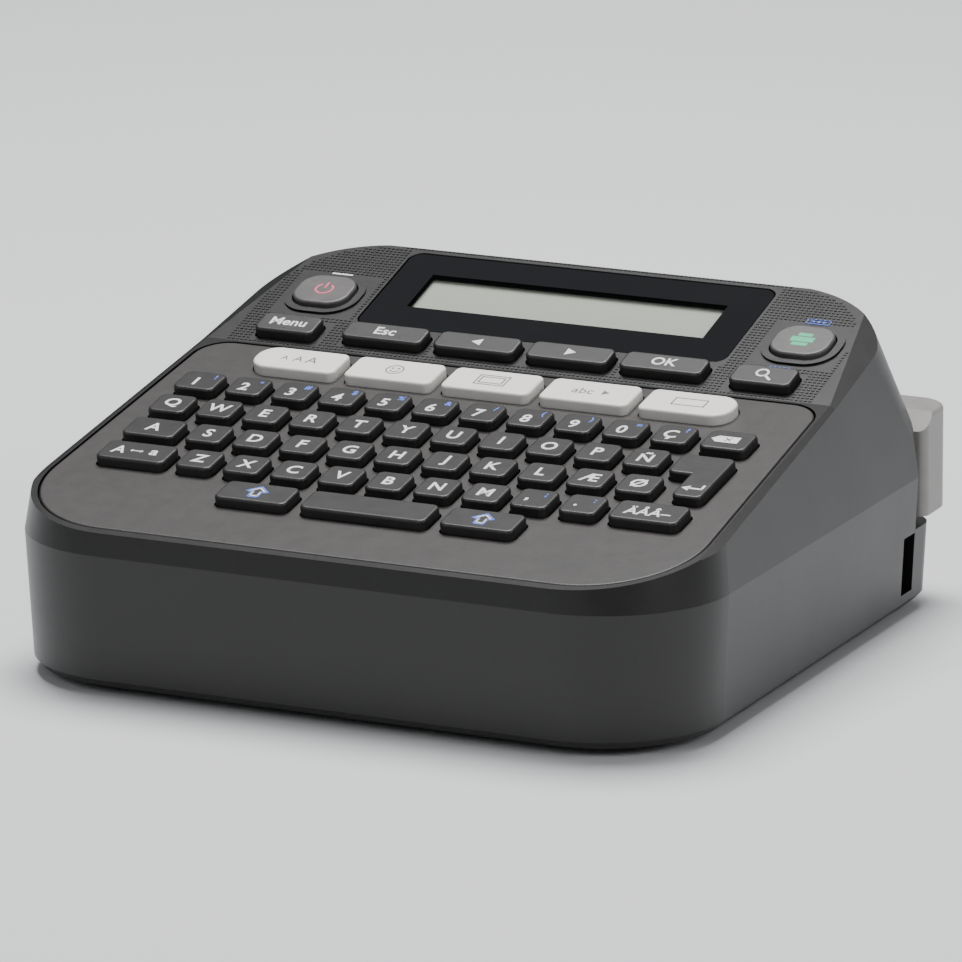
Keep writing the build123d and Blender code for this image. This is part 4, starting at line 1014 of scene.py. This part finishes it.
CAMERA_AZIMUTH = 26.3
CAMERA_ELEVATION = 14.6
CAMERA_DISTANCE = 1.62
CAMERA_LENS = 292.0
CAMERA_ROLL = -0.4


def aim(thing, place, target):
    thing.location = place
    thing.rotation_euler = (Vector(target) - Vector(place)).to_track_quat("-Z", "Y").to_euler()


class LABELMAKER_OT_stage(bpy.types.Operator):
    """Pale floor, soft lights and the camera"""

    bl_idname = "labelmaker.stage"
    bl_label = "Stage"

    def execute(self, context):
        low, high = CAD_BOX
        self.floor(context, low.z)
        centre = (low + high) / 2
        self.light(context, "key_light", centre + Vector((-0.15, 0.30, 1.25)), centre, 0.8, 31.0)
        self.light(context, "fill_light", centre + Vector((1.3, -0.35, 0.75)), centre, 0.7, 6.0)
        self.light(context, "front_light", centre + Vector((-0.2, -1.4, 0.9)), centre, 0.9, 5.0)
        world = bpy.data.worlds.new("studio")
        world.use_nodes = True
        world.node_tree.nodes["Background"].inputs["Color"].default_value = (0.80, 0.84, 0.90, 1.0)
        world.node_tree.nodes["Background"].inputs["Strength"].default_value = 0.16
        context.scene.world = world
        self.camera(context, centre)
        return {"FINISHED"}

    def floor(self, context, height):
        """One large pale sheet with a low curve far behind the object."""
        profile = [(-3.0, 0.0), (2.6, 0.0)]
        for step in range(1, 9):
            angle = math.radians(60 * step / 8)
            profile.append((2.6 + 0.8 * math.sin(angle), 0.8 - 0.8 * math.cos(angle)))
        mesh = bpy.data.meshes.new("studio_floor")
        points = [(x, y, height + z) for y, z in profile for x in (-4.0, 4.0)]
        faces = [(2 * i, 2 * i + 1, 2 * i + 3, 2 * i + 2) for i in range(len(profile) - 1)]
        mesh.from_pydata(points, [], faces)
        mesh.shade_smooth()
        floor = bpy.data.objects.new("studio_floor", mesh)
        context.scene.collection.objects.link(floor)
        finish = Finish("studio_paper", 0.7)
        tone = finish.noise(0.25, 2.0)
        finish.set(Base_Color=finish.net.mix(tone, (0.70, 0.71, 0.72, 1), (0.74, 0.75, 0.76, 1)))
        mesh.materials.append(finish.material)

    def light(self, context, name, place, target, size, power):
        data = bpy.data.lights.new(name, "AREA")
        data.size = size
        data.energy = power
        lamp = bpy.data.objects.new(name, data)
        context.scene.collection.objects.link(lamp)
        aim(lamp, place, target)

    def camera(self, context, centre):
        azimuth, elevation = math.radians(CAMERA_AZIMUTH), math.radians(CAMERA_ELEVATION)
        level = Vector((math.sin(azimuth), -math.cos(azimuth), 0.0)) * math.cos(elevation)
        back = level + Vector((0.0, 0.0, math.sin(elevation)))
        data = bpy.data.cameras.new("camera")
        data.lens = CAMERA_LENS
        camera = bpy.data.objects.new("camera", data)
        context.scene.collection.objects.link(camera)
        aim(camera, centre + back * CAMERA_DISTANCE, centre)
        camera.rotation_euler.rotate_axis("Z", math.radians(CAMERA_ROLL))
        data.clip_end = 20.0
        context.scene.camera = camera


class LABELMAKER_PT_panel(bpy.types.Panel):
    """Lists the steps that build the label maker's looks"""

    bl_idname = "LABELMAKER_PT_panel"
    bl_label = "Label Maker"
    bl_space_type = "VIEW_3D"
    bl_region_type = "UI"
    bl_category = "Label Maker"

    def draw(self, context):
        for group in (context.scene.label_maker_sizes, context.scene.label_maker_colours):
            box = self.layout.box()
            for name in group.__annotations__:
                box.prop(group, name)
        for operator in OPERATORS:
            self.layout.operator(operator.bl_idname)


OPERATORS = (
    LABELMAKER_OT_stage,
    LABELMAKER_OT_casing,
    LABELMAKER_OT_keys,
    LABELMAKER_OT_display,
    LABELMAKER_OT_inside,
    LABELMAKER_OT_letter_legends,
    LABELMAKER_OT_symbol_legends,
    LABELMAKER_OT_panel,
)
CLASSES = (LabelMakerSizes, LabelMakerColours, *OPERATORS, LABELMAKER_PT_panel)


def register():
    for item in CLASSES:
        bpy.utils.register_class(item)
    bpy.types.Scene.label_maker_sizes = PointerProperty(type=LabelMakerSizes)
    bpy.types.Scene.label_maker_colours = PointerProperty(type=LabelMakerColours)


def unregister():
    del bpy.types.Scene.label_maker_colours
    del bpy.types.Scene.label_maker_sizes
    for item in reversed(CLASSES):
        bpy.utils.unregister_class(item)


def main():
    register()
    bpy.ops.labelmaker.stage()
    bpy.ops.labelmaker.casing()
    bpy.ops.labelmaker.keys()
    bpy.ops.labelmaker.display()
    bpy.ops.labelmaker.inside()
    bpy.ops.labelmaker.letter_legends()
    bpy.ops.labelmaker.symbol_legends()
    bpy.ops.labelmaker.panel()


if __name__ == "__main__":
    main()
